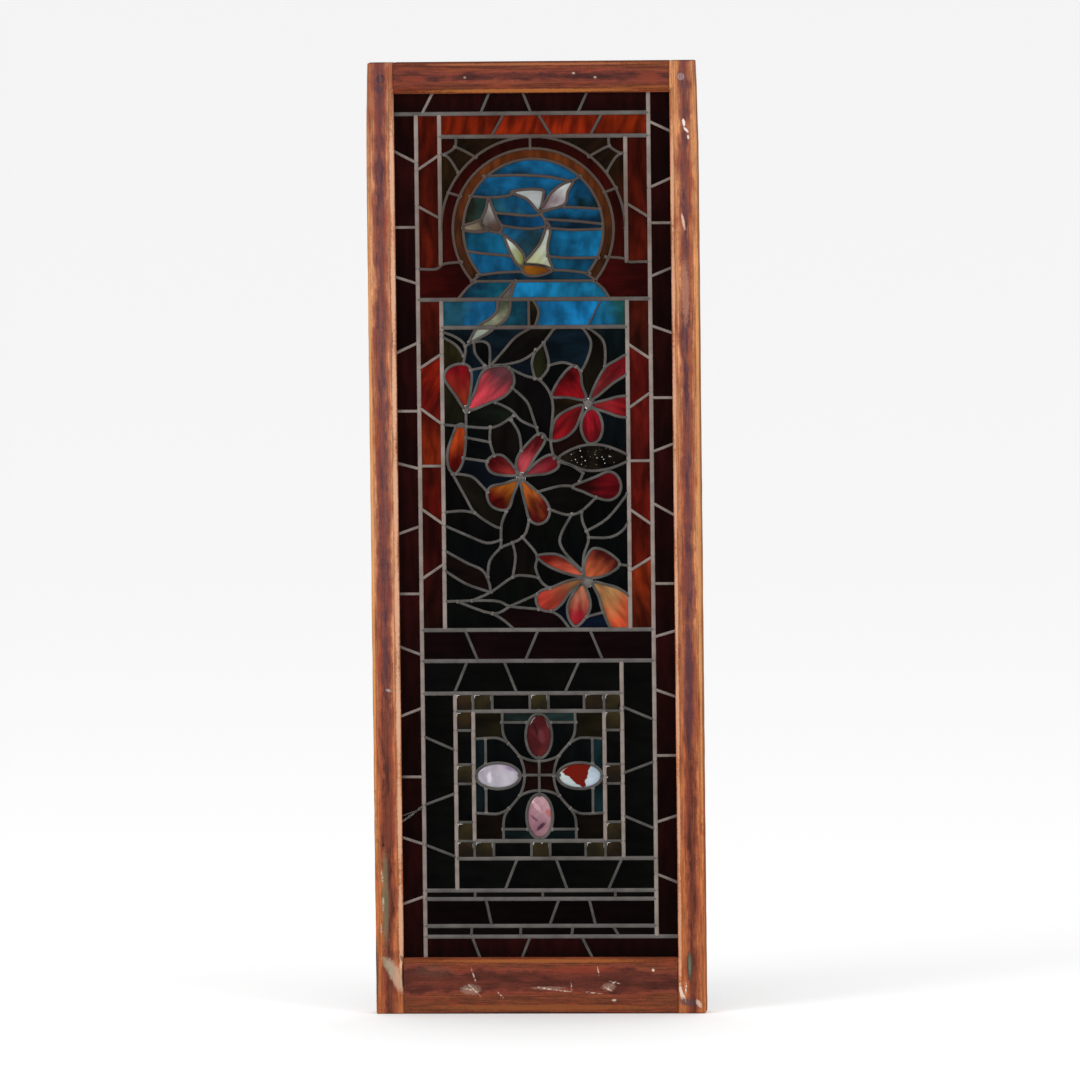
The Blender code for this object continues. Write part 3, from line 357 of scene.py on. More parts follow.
# %% Leaf and stem leads
LEAF_LEADS = [
    # The top left corner.
    [(-130, 956), (-110, 948), (-97, 935), (-100, 911)],
    [(-130, 949), (-110, 937), (-100, 922)],
    [(-97, 935), (-86, 941), (-83, 925), (-70, 908)],
    [(-86, 941), (-72, 942), (-63, 934), (-63, 907)],
    [(-90, 902), (-64, 907)],
    # The long leaf and its neighbours.
    [(-62, 908), (-44, 928), (-27, 947), (-6, 960)],
    [(-64, 907), (-44, 909), (-16, 916), (8, 934), (28, 960)],
    [(-36, 905), (-14, 894), (4, 889), (14, 880), (22, 866), (25, 846), (21, 803), (26, 778)],
    [(2, 930), (-4, 912), (0, 890)],
    [(13, 940), (20, 908), (8, 889)],
    [(20, 908), (40, 912), (58, 906)],
    [(68, 960), (78, 944), (78, 929), (71, 910), (65, 900)],
    [(76, 960), (95, 944), (99, 926), (98, 906)],
    # Between the pink and the middle flowers.
    [(-32, 877), (-12, 858), (-4, 838), (4, 812)],
    [(-56, 857), (-34, 846), (-20, 831), (2, 821)],
    [(-130, 826), (-97, 823), (-58, 822), (-30, 838)],
    [(-97, 843), (-97, 823)],
    [(-63, 822), (-64, 802), (-58, 782)],
    [(-34, 832), (-23, 813), (-20, 789)],
    [(-98, 808), (-64, 801)],
    [(-102, 779), (-68, 774)],
    [(10, 808), (22, 802)],
    [(32, 773), (50, 768), (66, 757)],
    [(66, 757), (61, 745)],
    # Below the bell, on the left.
    [(-117, 757), (-98, 722), (-86, 702), (-60, 684), (-50, 681)],
    [(-112, 757), (-90, 753), (-76, 740), (-68, 731)],
    [(-130, 703), (-104, 705), (-86, 702)],
    [(-130, 685), (-98, 671), (-70, 660), (-50, 664)],
    [(-130, 650), (-98, 632), (-77, 622), (-68, 606), (-65, 591)],
    [(-130, 622), (-100, 603), (-66, 591)],
    # The leaves under the middle flower.
    [(-42, 704), (-49, 685), (-50, 654)],
    [(-10, 692), (-19, 668), (-50, 654)],
    [(-50, 654), (-66, 635), (-69, 612)],
    [(-34, 660), (-30, 640), (-34, 612)],
    [(-20, 668), (0, 643), (-2, 625), (6, 605), (18, 596)],
    [(2, 611), (-16, 614), (-34, 612), (-65, 591), (-92, 579)],
    [(2, 731), (32, 739), (52, 739)],
    [(18, 707), (42, 699), (62, 703), (84, 723)],
    [(50, 700), (33, 668), (38, 648), (62, 622)],
    [(63, 703), (65, 688), (73, 666), (66, 642), (64, 616)],
    [(70, 676), (100, 694), (128, 728)],
    [(73, 667), (102, 667), (120, 676), (130, 690)],
    [(116, 629), (130, 627)],
    # Along the foot.
    [(-130, 578), (-61, 579), (-38, 571), (2, 567)],
    [(-112, 578), (-63, 561), (-36, 572), (0, 588)],
    [(-63, 561), (-48, 552), (-32, 538)],
    [(19, 564), (32, 556), (46, 538)],
    [(69, 556), (92, 562)],
]

# %% [markdown]
# ### The quatrefoil
# One quarter of the ornament is drawn and turned into the other three, round four cast ovals.
# Pressed squares and plain bars alternate in the ring outside it.

# %% Ring of squares, ovals and lobes
def jewel_leads():
    """The short leads of the ring of squares round the quatrefoil."""
    rows = [-JEWEL_X, -65, -12, 14, 64, JEWEL_X]
    columns = [JEWEL_TOP, 397, 349, 322, 268, JEWEL_LOW]
    short = []
    for x in rows:
        short += [line(x, GREEN_TOP, x, JEWEL_TOP), line(x, JEWEL_LOW, x, GREEN_LOW)]
    for z in columns:
        short += [line(-GREEN_X, z, -JEWEL_X, z), line(GREEN_X, z, JEWEL_X, z)]
    return short


def oval(x, z, half_x, half_z, steps=28):
    turns = [2 * math.pi * i / steps for i in range(steps)]
    return [(x + half_x * math.cos(a), z + half_z * math.sin(a)) for a in turns]


def ovals():
    across, along, out = 18.5, 31.5, 57.0
    return {
        "top": oval(0, QUATREFOIL_Z + out - 1, across, along),
        "left": oval(-out - 1, QUATREFOIL_Z, along, across),
        "bottom": oval(0, QUATREFOIL_Z - out, across, along),
        "right": oval(out, QUATREFOIL_Z, along, across),
    }


def quatrefoil_leads():
    """One quarter of the lobes, turned into all four, with the cross in the middle."""
    lobes = [[(20.5, 0), (21.5, 10), (24, 19), (28, 28), (35, 37), (43, 45.5), (52, 51), (63, 53.5),
              (91, 52)],
             [(0, 20.5), (10, 21.5), (19, 24), (28, 28)],
             [(43, 45.5), (49, 56), (51, 68), (51, 91)]]
    half_bars = [[(17.4, 75), (52, 75)], [(75, 17.4), (75, 52)]]
    turned = []
    for side in (-1, 1):
        for rise in (-1, 1):
            turned += [
                [(side * x, QUATREFOIL_Z + rise * z) for x, z in path]
                for path in lobes + half_bars
            ]
    z = QUATREFOIL_Z
    cross = [line(-28, z + 1, 28, z + 1), line(0, z - 27, 0, z + 26)]
    feet = [line(0, z + 87, 0, JEWEL_TOP), line(0, JEWEL_LOW, 0, z - 88)]
    sides = [line(-JEWEL_X, z, -89, z), line(88, z, JEWEL_X, z)]
    return turned + cross + feet + sides

# %% [markdown]
# ### From lines to leads
# The bent leads are softened, because lead came bends in a curve and not at corners. Each open
# lead is also carried on a little at both ends, so that it runs in under the lead it meets.

# %% Smooth and lengthen the paths
SMOOTH = 4


def softened(path, closed=False):
    """The path with SMOOTH steps from one of its points to the next, on a curve through them."""
    count = len(path)
    points = [Vector(p) for p in path]

    def at(i):
        return points[i % count] if closed else points[min(max(i, 0), count - 1)]

    curved = []
    for i in range(count if closed else count - 1):
        a, b, c, d = at(i - 1), at(i), at(i + 1), at(i + 2)
        for step in range(SMOOTH):
            t = step / SMOOTH
            pull = (c - a) * t + (2 * a - 5 * b + 4 * c - d) * t**2 + (3 * b - a - 3 * c + d) * t**3
            if not curved or (b + pull / 2 - curved[-1]).length > 0.1:
                curved.append(b + pull / 2)
    return curved if closed else curved + [points[-1]]


def lengthened(path, by):
    first, last = Vector(path[0]), Vector(path[-1])
    ahead = (first - Vector(path[1])).normalized() * by
    behind = (last - Vector(path[-2])).normalized() * by
    return [first + ahead, *[Vector(p) for p in path[1:-1]], last + behind]


def kept_inside(path):
    """The path with nothing past the leads round the flower panel."""
    return [(min(max(x, -INNER_X), INNER_X), max(z, FLOWER_LOW)) for x, z in path]


bird_shapes = {name: [softened(path, True) for path in shapes] for name, shapes in BIRDS.items()}
petal_shapes = {name: [kept_inside(softened(path, True)) for path in shapes]
                for name, shapes in FLOWERS.items()}
oval_shapes = ovals()

bent = [softened(path) for path in SKY_LEADS + SHOULDER_LEADS + SILL_LEADS]
bent += [softened(path) for path in LOW_BIRD_LEADS + spandrels]
bent += [softened(kept_inside(path)) for path in LEAF_LEADS]
bent += [softened(path) for path in quatrefoil_leads()] + arch_rings + SKY_FOOT_LEADS
straight = border_cuts + inner_cuts + ring_cuts + jewel_leads()
rounds = [shape for shapes in (*bird_shapes.values(), *petal_shapes.values()) for shape in shapes]
rounds += list(oval_shapes.values())
END_REACH = 2.2
thin_leads = [lengthened(path, END_REACH) for path in bent + straight]
print("bent leads:", len(bent), "closed leads:", len(rounds), "straight:", len(straight))

# %% [markdown]
# ## Cutting the glass
# Every pane is the space between the leads' hearts. The hearts are laid out as flat bands, the
# plane is divided into triangles along the bands' edges, and what the bands leave open is followed
# round into outlines.

# %% Flat geometry helpers
def bands(path, width, closed=False):
    """One four-sided band for each stretch of a path, mitred at the bends."""
    points = [Vector(p) for p in path]
    count = len(points)
    sides = []
    for i, point in enumerate(points):
        before = points[i - 1] if closed or i else None
        after = points[(i + 1) % count] if closed or i < count - 1 else None
        heads = [
            (b - a).normalized() for a, b in ((before, point), (point, after)) if a and b
        ]
        heading = sum(heads, Vector((0, 0))).normalized()
        reach = width / 2 / max(heading.dot(heads[0]), 0.5)
        across = Vector((-heading.y, heading.x)) * reach
        sides.append((point + across, point - across))
    pairs = zip(sides, sides[1:] + (sides[:1] if closed else []))
    return [[a[1], b[1], b[0], a[0]] for a, b in pairs]


def triangulate(loops):
    """The plane inside the loops' hull as (points, triangles), with every loop kept as edges."""
    points, edges = [], []
    for loop in loops:
        start, count = len(points), len(loop)
        points += [Vector((p[0], p[1])) for p in loop]
        edges += [(start + i, start + (i + 1) % count) for i in range(count)]
    found = delaunay_2d_cdt(points, edges, [], 0, 1e-4, False)
    return found[0], [tuple(face) for face in found[2]]


def middles(points, triangles):
    corners = np.array([point[:] for point in points])
    return corners[np.array(triangles)].mean(axis=1)


def inside(spots, loop):
    """For each spot, whether the loop winds round it."""
    start = np.array(loop, dtype=float)
    end = np.roll(start, -1, axis=0)
    x, y = spots[:, :1], spots[:, 1:]
    crosses = (start[:, 1] > y) != (end[:, 1] > y)
    rise = np.where(crosses, end[:, 1] - start[:, 1], 1.0)
    at = start[:, 0] + (y - start[:, 1]) * (end[:, 0] - start[:, 0]) / rise
    return (crosses & (at > x)).sum(axis=1) % 2 == 1


def sharpest_right(points, before, at, choices):
    """Where two loops touch, the next point that stays on the loop being followed."""
    if before is None or len(choices) == 1:
        return choices[0]
    back = points[before] - points[at]

    def turn(choice):
        ahead = points[choice] - points[at]
        return math.atan2(back.x * ahead.y - back.y * ahead.x, back.dot(ahead)) % math.tau

    return min(choices, key=turn)


def outline(points, triangles):
    """The boundary of a set of triangles, as closed loops of points."""
    edges = set()
    for a, b, c in triangles:
        edges |= {(a, b), (b, c), (c, a)}
    following = {}
    for a, b in sorted(edges):
        if (b, a) not in edges:
            following.setdefault(a, []).append(b)
    loops = []
    while following:
        start = next(iter(following))
        loop, before, at = [], None, start
        while at in following:
            loop.append(at)
            step = sharpest_right(points, before, at, following[at])
            following[at].remove(step)
            if not following[at]:
                del following[at]
            before, at = at, step
        loops.append([tuple(points[i]) for i in loop])
    return loops


def straightened(loop, slack):
    """The loop without the points that lie within slack of the line between their neighbours."""
    loop = list(loop)
    index, quiet = 0, 0
    while quiet < len(loop) and len(loop) > 3:
        before, here, after = (Vector(loop[(index + k) % len(loop)]) for k in (-1, 0, 1))
        span = after - before
        off = abs(span.x * (here - before).y - span.y * (here - before).x) / max(span.length, 1e-6)
        if off < slack:
            del loop[index % len(loop)]
            quiet = 0
        else:
            index, quiet = index + 1, quiet + 1
        index %= len(loop)
    return loop

# %% [markdown]
# ### The panes
# Each group of connected triangles between the hearts is one pane.

# %% Outlines of all panes
GAP = 0.3
heart_bands = [band for path in framing for band in bands(lengthened(path, 1.0), HEART + 2 * GAP)]
for path in thin_leads + repair_leads:
    heart_bands += bands(path, HEART + 2 * GAP)
for path in rounds:
    heart_bands += bands(path, HEART + 2 * GAP, True)
heart_bands += [oval(x, z, radius + 2, radius + 2, 12) for x, z, radius in HUBS.values()]
PANEL_X, PANEL_LOW, PANEL_TOP = 196.0, 75.5, 1291.5
panel = [(-PANEL_X, PANEL_LOW), (PANEL_X, PANEL_LOW), (PANEL_X, PANEL_TOP), (-PANEL_X, PANEL_TOP)]
points, triangles = triangulate([panel, *heart_bands])
spots = middles(points, triangles)
leaded = ~inside(spots, panel)
for band in heart_bands:
    corners = np.array(band, dtype=float)
    near = ((spots >= corners.min(axis=0)) & (spots <= corners.max(axis=0))).all(axis=1)
    leaded[near] |= inside(spots[near], band)
open_faces = [face for face, lead in zip(triangles, leaded) if not lead]


def connected(faces):
    """The triangles in groups that share edges."""
    by_edge = {}
    for number, (a, b, c) in enumerate(faces):
        for edge in ((a, b), (b, c), (c, a)):
            by_edge.setdefault(frozenset(edge), []).append(number)
    left, groups = set(range(len(faces))), []
    while left:
        group, waiting = [], [left.pop()]
        while waiting:
            number = waiting.pop()
            group.append(number)
            a, b, c = faces[number]
            for edge in ((a, b), (b, c), (c, a)):
                fresh = [n for n in by_edge[frozenset(edge)] if n in left]
                left -= set(fresh)
                waiting += fresh
        groups.append([faces[n] for n in group])
    return groups


def area_of(face):
    a, b, c = (points[i] for i in face)
    return abs((b - a).cross(c - a)) / 2


SMALLEST_PANE = 12.0  # square millimetres: less than this is a chink between leads
panes = []
for group in connected(open_faces):
    if sum(area_of(face) for face in group) > SMALLEST_PANE:
        widest = max(group, key=area_of)
        spot = sum((points[i] for i in widest), Vector((0, 0))) / 3
        loops = [straightened(loop, 0.05) for loop in outline(points, group)]
        panes.append((spot, loops))
print("panes:", len(panes), "with islands:", sum(len(loops) > 1 for _, loops in panes))

# %% [markdown]
# ## Helpers for making pieces
# Every piece is built as a bmesh in millimetres, with its place already in its points, and is
# scaled to metres when it becomes an object. The solids that it stands for are then hidden.

# %% From a bmesh to a finished piece
random.seed(7)


def linked(name, data):
    """A new object with the data, in the scene."""
    made = bpy.data.objects.new(name, data)
    bpy.context.scene.collection.objects.link(made)
    return made


def settled(mesh, name, stands_for, material, smooth=True):
    """Makes the bmesh an object, gives it its finish and lets it replace its solids."""
    bmesh.ops.recalc_face_normals(mesh, faces=mesh.faces)
    bmesh.ops.scale(mesh, vec=Vector((MM, MM, MM)), verts=mesh.verts)
    data = bpy.data.meshes.new(name)
    mesh.to_mesh(data)
    mesh.free()
    data.shade_smooth() if smooth else data.shade_flat()
    data.materials.append(material)
    piece = linked(name, data)
    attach(piece, "root")
    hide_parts(*stands_for)


def paint(hex_colour):
    """A screen colour such as #8a4a24 as the linear values that a shader wants."""
    channels = [int(hex_colour[i:i + 2], 16) / 255 for i in (1, 3, 5)]
    return [c / 12.92 if c <= 0.04045 else ((c + 0.055) / 1.055) ** 2.4 for c in channels] + [1.0]


def node(tree, kind, inputs=(), **settings):
    """One shader node. Its inputs are plain values or the outputs of other nodes."""
    made = tree.nodes.new(kind)
    for name, value in settings.items():
        setattr(made, name, value)
    for key, value in dict(inputs).items():
        if isinstance(value, bpy.types.NodeSocket):
            tree.links.new(value, made.inputs[key])
        else:
            made.inputs[key].default_value = value
    return made


def maths(tree, operation, a, b=0.0):
    return node(tree, "ShaderNodeMath", {0: a, 1: b}, operation=operation).outputs[0]


def times(tree, a, b):
    return maths(tree, "MULTIPLY", a, b)


def swing(tree, clouds):
    """A noise moved down, so that it swings about zero."""
    return maths(tree, "SUBTRACT", clouds, 0.5)


def eased(tree, value, start, end, low=0.0, high=1.0):
    """A smooth step: low up to start, high from end on."""
    ranged = node(tree, "ShaderNodeMapRange", {0: value, 1: start, 2: end, 3: low, 4: high},
                  interpolation_type="SMOOTHSTEP")
    return ranged.outputs[0]


def mixed(tree, factor, a, b):
    blend = node(tree, "ShaderNodeMix", {0: factor, 6: a, 7: b}, data_type="RGBA")
    return blend.outputs[2]


def dimmed(tree, colour, by):
    scaled = node(tree, "ShaderNodeVectorMath", {0: colour, 3: by}, operation="SCALE")
    return scaled.outputs[0]


def stretched(tree, vector, scale):
    across = node(tree, "ShaderNodeVectorMath", {0: vector, 1: scale}, operation="MULTIPLY")
    return across.outputs[0]


def cloudy(tree, vector, scale, detail=2.0, rough=0.5):
    clouds = node(tree, "ShaderNodeTexNoise",
                  {"Vector": vector, "Scale": scale, "Detail": detail, "Roughness": rough})
    return clouds.outputs["Fac"]


def new_material(name, roughness, level=0.5):
    """A material, its node tree and its shader, with the plain values set."""
    material = bpy.data.materials.new(name)
    material.use_nodes = True
    shader = material.node_tree.nodes["Principled BSDF"]
    shader.inputs["Roughness"].default_value = roughness
    shader.inputs["Specular IOR Level"].default_value = level
    return material, material.node_tree, shader


def bumped(tree, shader, height, strength, distance):
    bump = node(tree, "ShaderNodeBump",
                {"Height": height, "Strength": strength, "Distance": distance})
    tree.links.new(bump.outputs[0], shader.inputs["Normal"])


def object_place(tree):
    return node(tree, "ShaderNodeTexCoord").outputs["Object"]


def away_from(tree, place, x, z):
    """The distance from a point of the middle plane, which is given in metres."""
    return node(tree, "ShaderNodeVectorMath", {0: place, 1: (x, 0, z)},
                operation="DISTANCE").outputs["Value"]


def torn_edges(tree, place):
    return swing(tree, cloudy(tree, place, 260.0, 4.0, 0.7))


def patch(tree, place, torn, x, z, long, wide, turn):
    """1 inside a ragged oval patch, in millimetres and degrees."""
    centred = node(tree, "ShaderNodeMapping",
                   {0: place, 1: (x * MM, 0, z * MM), 2: (0, math.radians(turn), 0),
                    3: (long * MM, 1, wide * MM)}, vector_type="TEXTURE").outputs[0]
    flat = stretched(tree, centred, (1, 0, 1))
    away = node(tree, "ShaderNodeVectorMath", {0: flat}, operation="LENGTH").outputs["Value"]
    return eased(tree, maths(tree, "ADD", away, torn), 0.5, 1.0, 1.0, 0.0)


def beyond(tree, place, x, z, towards_x, towards_z):
    """1 on one side of a ragged line through (x, z), in millimetres."""
    off = node(tree, "ShaderNodeVectorMath", {0: place, 1: (x * MM, 0, z * MM)},
               operation="SUBTRACT").outputs[0]
    ahead = node(tree, "ShaderNodeVectorMath", {0: off, 1: (towards_x, 0, towards_z)},
                 operation="DOT_PRODUCT").outputs["Value"]
    ragged = times(tree, swing(tree, cloudy(tree, place, 150.0)), 0.008)
    return eased(tree, maths(tree, "ADD", ahead, ragged), -0.0006, 0.0006)

# %% [markdown]
# ## Coloured glass
# Streaky glass is rolled from two half-mixed melts. So each pane carries two colours and a fade
# from one to the other, and a grain that runs the way the sheet was rolled. One shader recipe
# reads them. Deep colours let little light through, so the panes stay dark on a pale background.

# %% Glass shader
def glass(name, mottle, streak, ripple, grain=(1, 5), gloss=(0.14, 0.2)):
    """mottle breaks up the fade, streak is the contrast along the grain, ripple the unevenness."""
    material, tree, shader = new_material(name, *gloss)
    shader.inputs["Transmission Weight"].default_value = 0.05
    shader.inputs["IOR"].default_value = 1.5
    rolled = node(tree, "ShaderNodeUVMap", uv_map="Grain").outputs[0]
    fade = node(tree, "ShaderNodeAttribute", attribute_name="fade").outputs["Fac"]
    near = node(tree, "ShaderNodeAttribute", attribute_name="near").outputs["Color"]
    far = node(tree, "ShaderNodeAttribute", attribute_name="far").outputs["Color"]
    clouds = cloudy(tree, stretched(tree, rolled, (2.2, 3.4, 1.0)), 1.3, 3.0)
    shift = times(tree, swing(tree, clouds), mottle)
    fade = eased(tree, maths(tree, "ADD", fade, shift), 0.1, 0.9)
    lines = cloudy(tree, stretched(tree, rolled, (*grain, 1.0)), 2.2, 2.0, 0.5)
    shine = eased(tree, lines, 0.3, 0.7, 1.0 - streak, 1.0 + streak)
    colour = dimmed(tree, mixed(tree, fade, near, far), shine)
    tree.links.new(colour, shader.inputs["Base Color"])
    waves = cloudy(tree, stretched(tree, rolled, (4.0, 7.0, 1.0)), 2.0)
    bumped(tree, shader, waves, ripple, 0.002)
    return material

# %% [markdown]
# ### Which sheet each pane is cut from
# The same areas as the solids: a pane's own place in the drawing tells its area.

# %% Areas of the picture
def low_area(x, z):
    """The areas below the flower panel."""
    if z < THIN_TOP:
        return "thin_lower" if z < RED_LOW else "strip_lower" if z < THIN_LOW else "thin_upper"
    if z > STRIP_LOW:
        return "strip_upper"
    if x < -GREEN_X and z < GREEN_TOP:
        return "green_left"
    if x > GREEN_X and z > GREEN_LOW:
        return "green_right"
    if not GREEN_LOW < z < GREEN_TOP:
        return "green_top" if z > GREEN_TOP else "green_bottom"
    lobed = abs(x) < JEWEL_X and JEWEL_LOW < z < JEWEL_TOP
    return "quatrefoil" if lobed else "jewel_ring"


FOOT_TOP, FOOT_REACH = 1027, 73  # the sky's foot is below the one and farther out than the other


def high_area(x, z):
    """The areas above the sill: arch, sky, shoulders and amber."""
    side = "left" if x < 0 else "right"
    from_arch = math.hypot(x, z - ARCH_Z)
    if z < SHOULDER and from_arch > ARCH_INNER and abs(x) > ARCH_INNER:
        return f"shoulder_{side}"
    if z < FOOT_TOP and from_arch > FOOT_REACH:
        return "sky_foot"
    if z > BAND_TOP and x > -INNER_X:
        return "amber_top"
    if abs(x) > INNER_X:
        return f"amber_upper_{side}"
    if from_arch < ARCH_INNER:
        return "sky"
    if from_arch < ARCH_MIDDLE:
        return "arch_inner_ring"
    return "arch_outer_ring" if from_arch < ARCH_OUTER else f"spandrel_{side}"


def area_at(x, z):
    side = "left" if x < 0 else "right"
    if x > OUTER_X and z > OUTER_LOW:
        return "border_right"
    if z > OUTER_TOP:
        return "border_top"
    if x < -OUTER_X:
        return "border_left"
    if z < OUTER_LOW:
        return "border_bottom"
    if z < FLOWER_LOW:
        return low_area(x, z)
    if z > SILL:
        return high_area(x, z)
    if abs(x) > INNER_X:
        return f"amber_lower_{side}"
    return "water_band" if z > FLOWER_TOP else "flower_ground"


drawn = {f"bird_{name}": shapes for name, shapes in bird_shapes.items()}
drawn.update({f"oval_{name}": [shape] for name, shape in oval_shapes.items()})
drawn.update({("bud" if name == "bud" else "leaf_pebbled" if name == "spindle" else
               f"flower_{name}"): shapes for name, shapes in petal_shapes.items()})


def home_of(spot):
    """(area, shape number) of the pane at a spot, where a drawn shape goes before an area."""
    for name, shapes in drawn.items():
        for number, shape in enumerate(shapes):
            if inside(np.array([spot]), shape)[0]:
                return name, number
    return area_at(*spot), 0


homes = [home_of(tuple(spot)) for spot, _ in panes]
counts = {name: sum(home[0] == name for home in homes) for name in sorted({h[0] for h in homes})}
print("panes in each area:", counts)

# %% [markdown]
# ### What colour each pane is
# Each area has a few pairs of colours, and every pane takes one pair. The petals are shaded from
# base to tip, which is the glazier's main trick: the picture is painted by choosing the piece of
# streaky glass. The last list is for panes that break their area's rule, each named by a spot
# inside it, with its two colours and the way its grain runs.

# %% Tints
AREA_TINTS = {  # area: (pairs of colours, the way the fade runs)
    "border": ([("#170404", "#1f0504"), ("#1d0505", "#270706"), ("#120303", "#1a0404")], (0, 1)),
    "amber_top": ([("#7e2005", "#5c1403"), ("#601603", "#822404")], (0.25, 1)),
    "amber_upper": ([("#4a1004", "#360903"), ("#3b0a02", "#521003")], (0, 1)),
    "spandrel": ([("#1a0f06", "#241507"), ("#170e06", "#1e1107")], (1, 1)),
    "arch_outer_ring": ([("#340703", "#260502"), ("#3c0803", "#2c0603")], (0, 1)),
    "arch_inner_ring": ([("#351d0e", "#5a2b10")], (0, 1)),
    "shoulder": ([("#380604", "#2a0403")], (1, 0)),
    "flower_ground": ([("#030506", "#060808"), ("#040605", "#070906"), ("#050405", "#080706")],
                      (0, 1)),
    "strip_upper": ([("#130405", "#0e0404")], (1, 0)),
    "strip_lower": ([("#0d0303", "#0a0202")], (1, 0)),
    "green": ([("#060706", "#090b08"), ("#050505", "#080806")], (1, 0)),
    "thin": ([("#0c0a07", "#090704")], (1, 0)),
    "jewel_ring": ([("#050605", "#090a08")], (0, 1)),
    "quatrefoil": ([("#040506", "#07090a")], (0, 1)),
}
PETAL_TINTS = {  # flower: (base, tip) of each petal in turn
    "flower_pink": [("#8a2a18", "#7c0a16"), ("#ba3844", "#522c30")],
    "flower_orange_bell": [("#a83c12", "#560805")],
    "flower_red": [("#8a0a16", "#4c0509"), ("#7c2628", "#600811"), ("#8a2025", "#740f16"),
                   ("#92101f", "#5c0a11"), ("#6a0f12", "#7e0c15")],
    "flower_middle": [("#9c383f", "#4c070b"), ("#8e2a28", "#58080e"), ("#8f323a", "#6a111b"),
                      ("#a55a17", "#520905"), ("#ae581e", "#480a0b")],
    "flower_low": [("#b8503a", "#70160e"), ("#ac5130", "#43100e"), ("#785033", "#a23428"),
                   ("#a9664c", "#8a1622"), ("#a47c4c", "#c8502e")],
    "bud": [("#2e0505", "#60070f")],
    "leaf_pebbled": [("#1a130a", "#100c07")],
    "bird_high": [("#b2b6b6", "#9fa3a3"), ("#7b626a", "#cfd3d0")],
    "bird_left": [("#9c9a96", "#57423a"), ("#94866e", "#5a4a3e")],
    "bird_low": [("#c8d0c8", "#777a30"), ("#b7bb92", "#c4ccc6"), ("#94580e", "#74400c")],
}
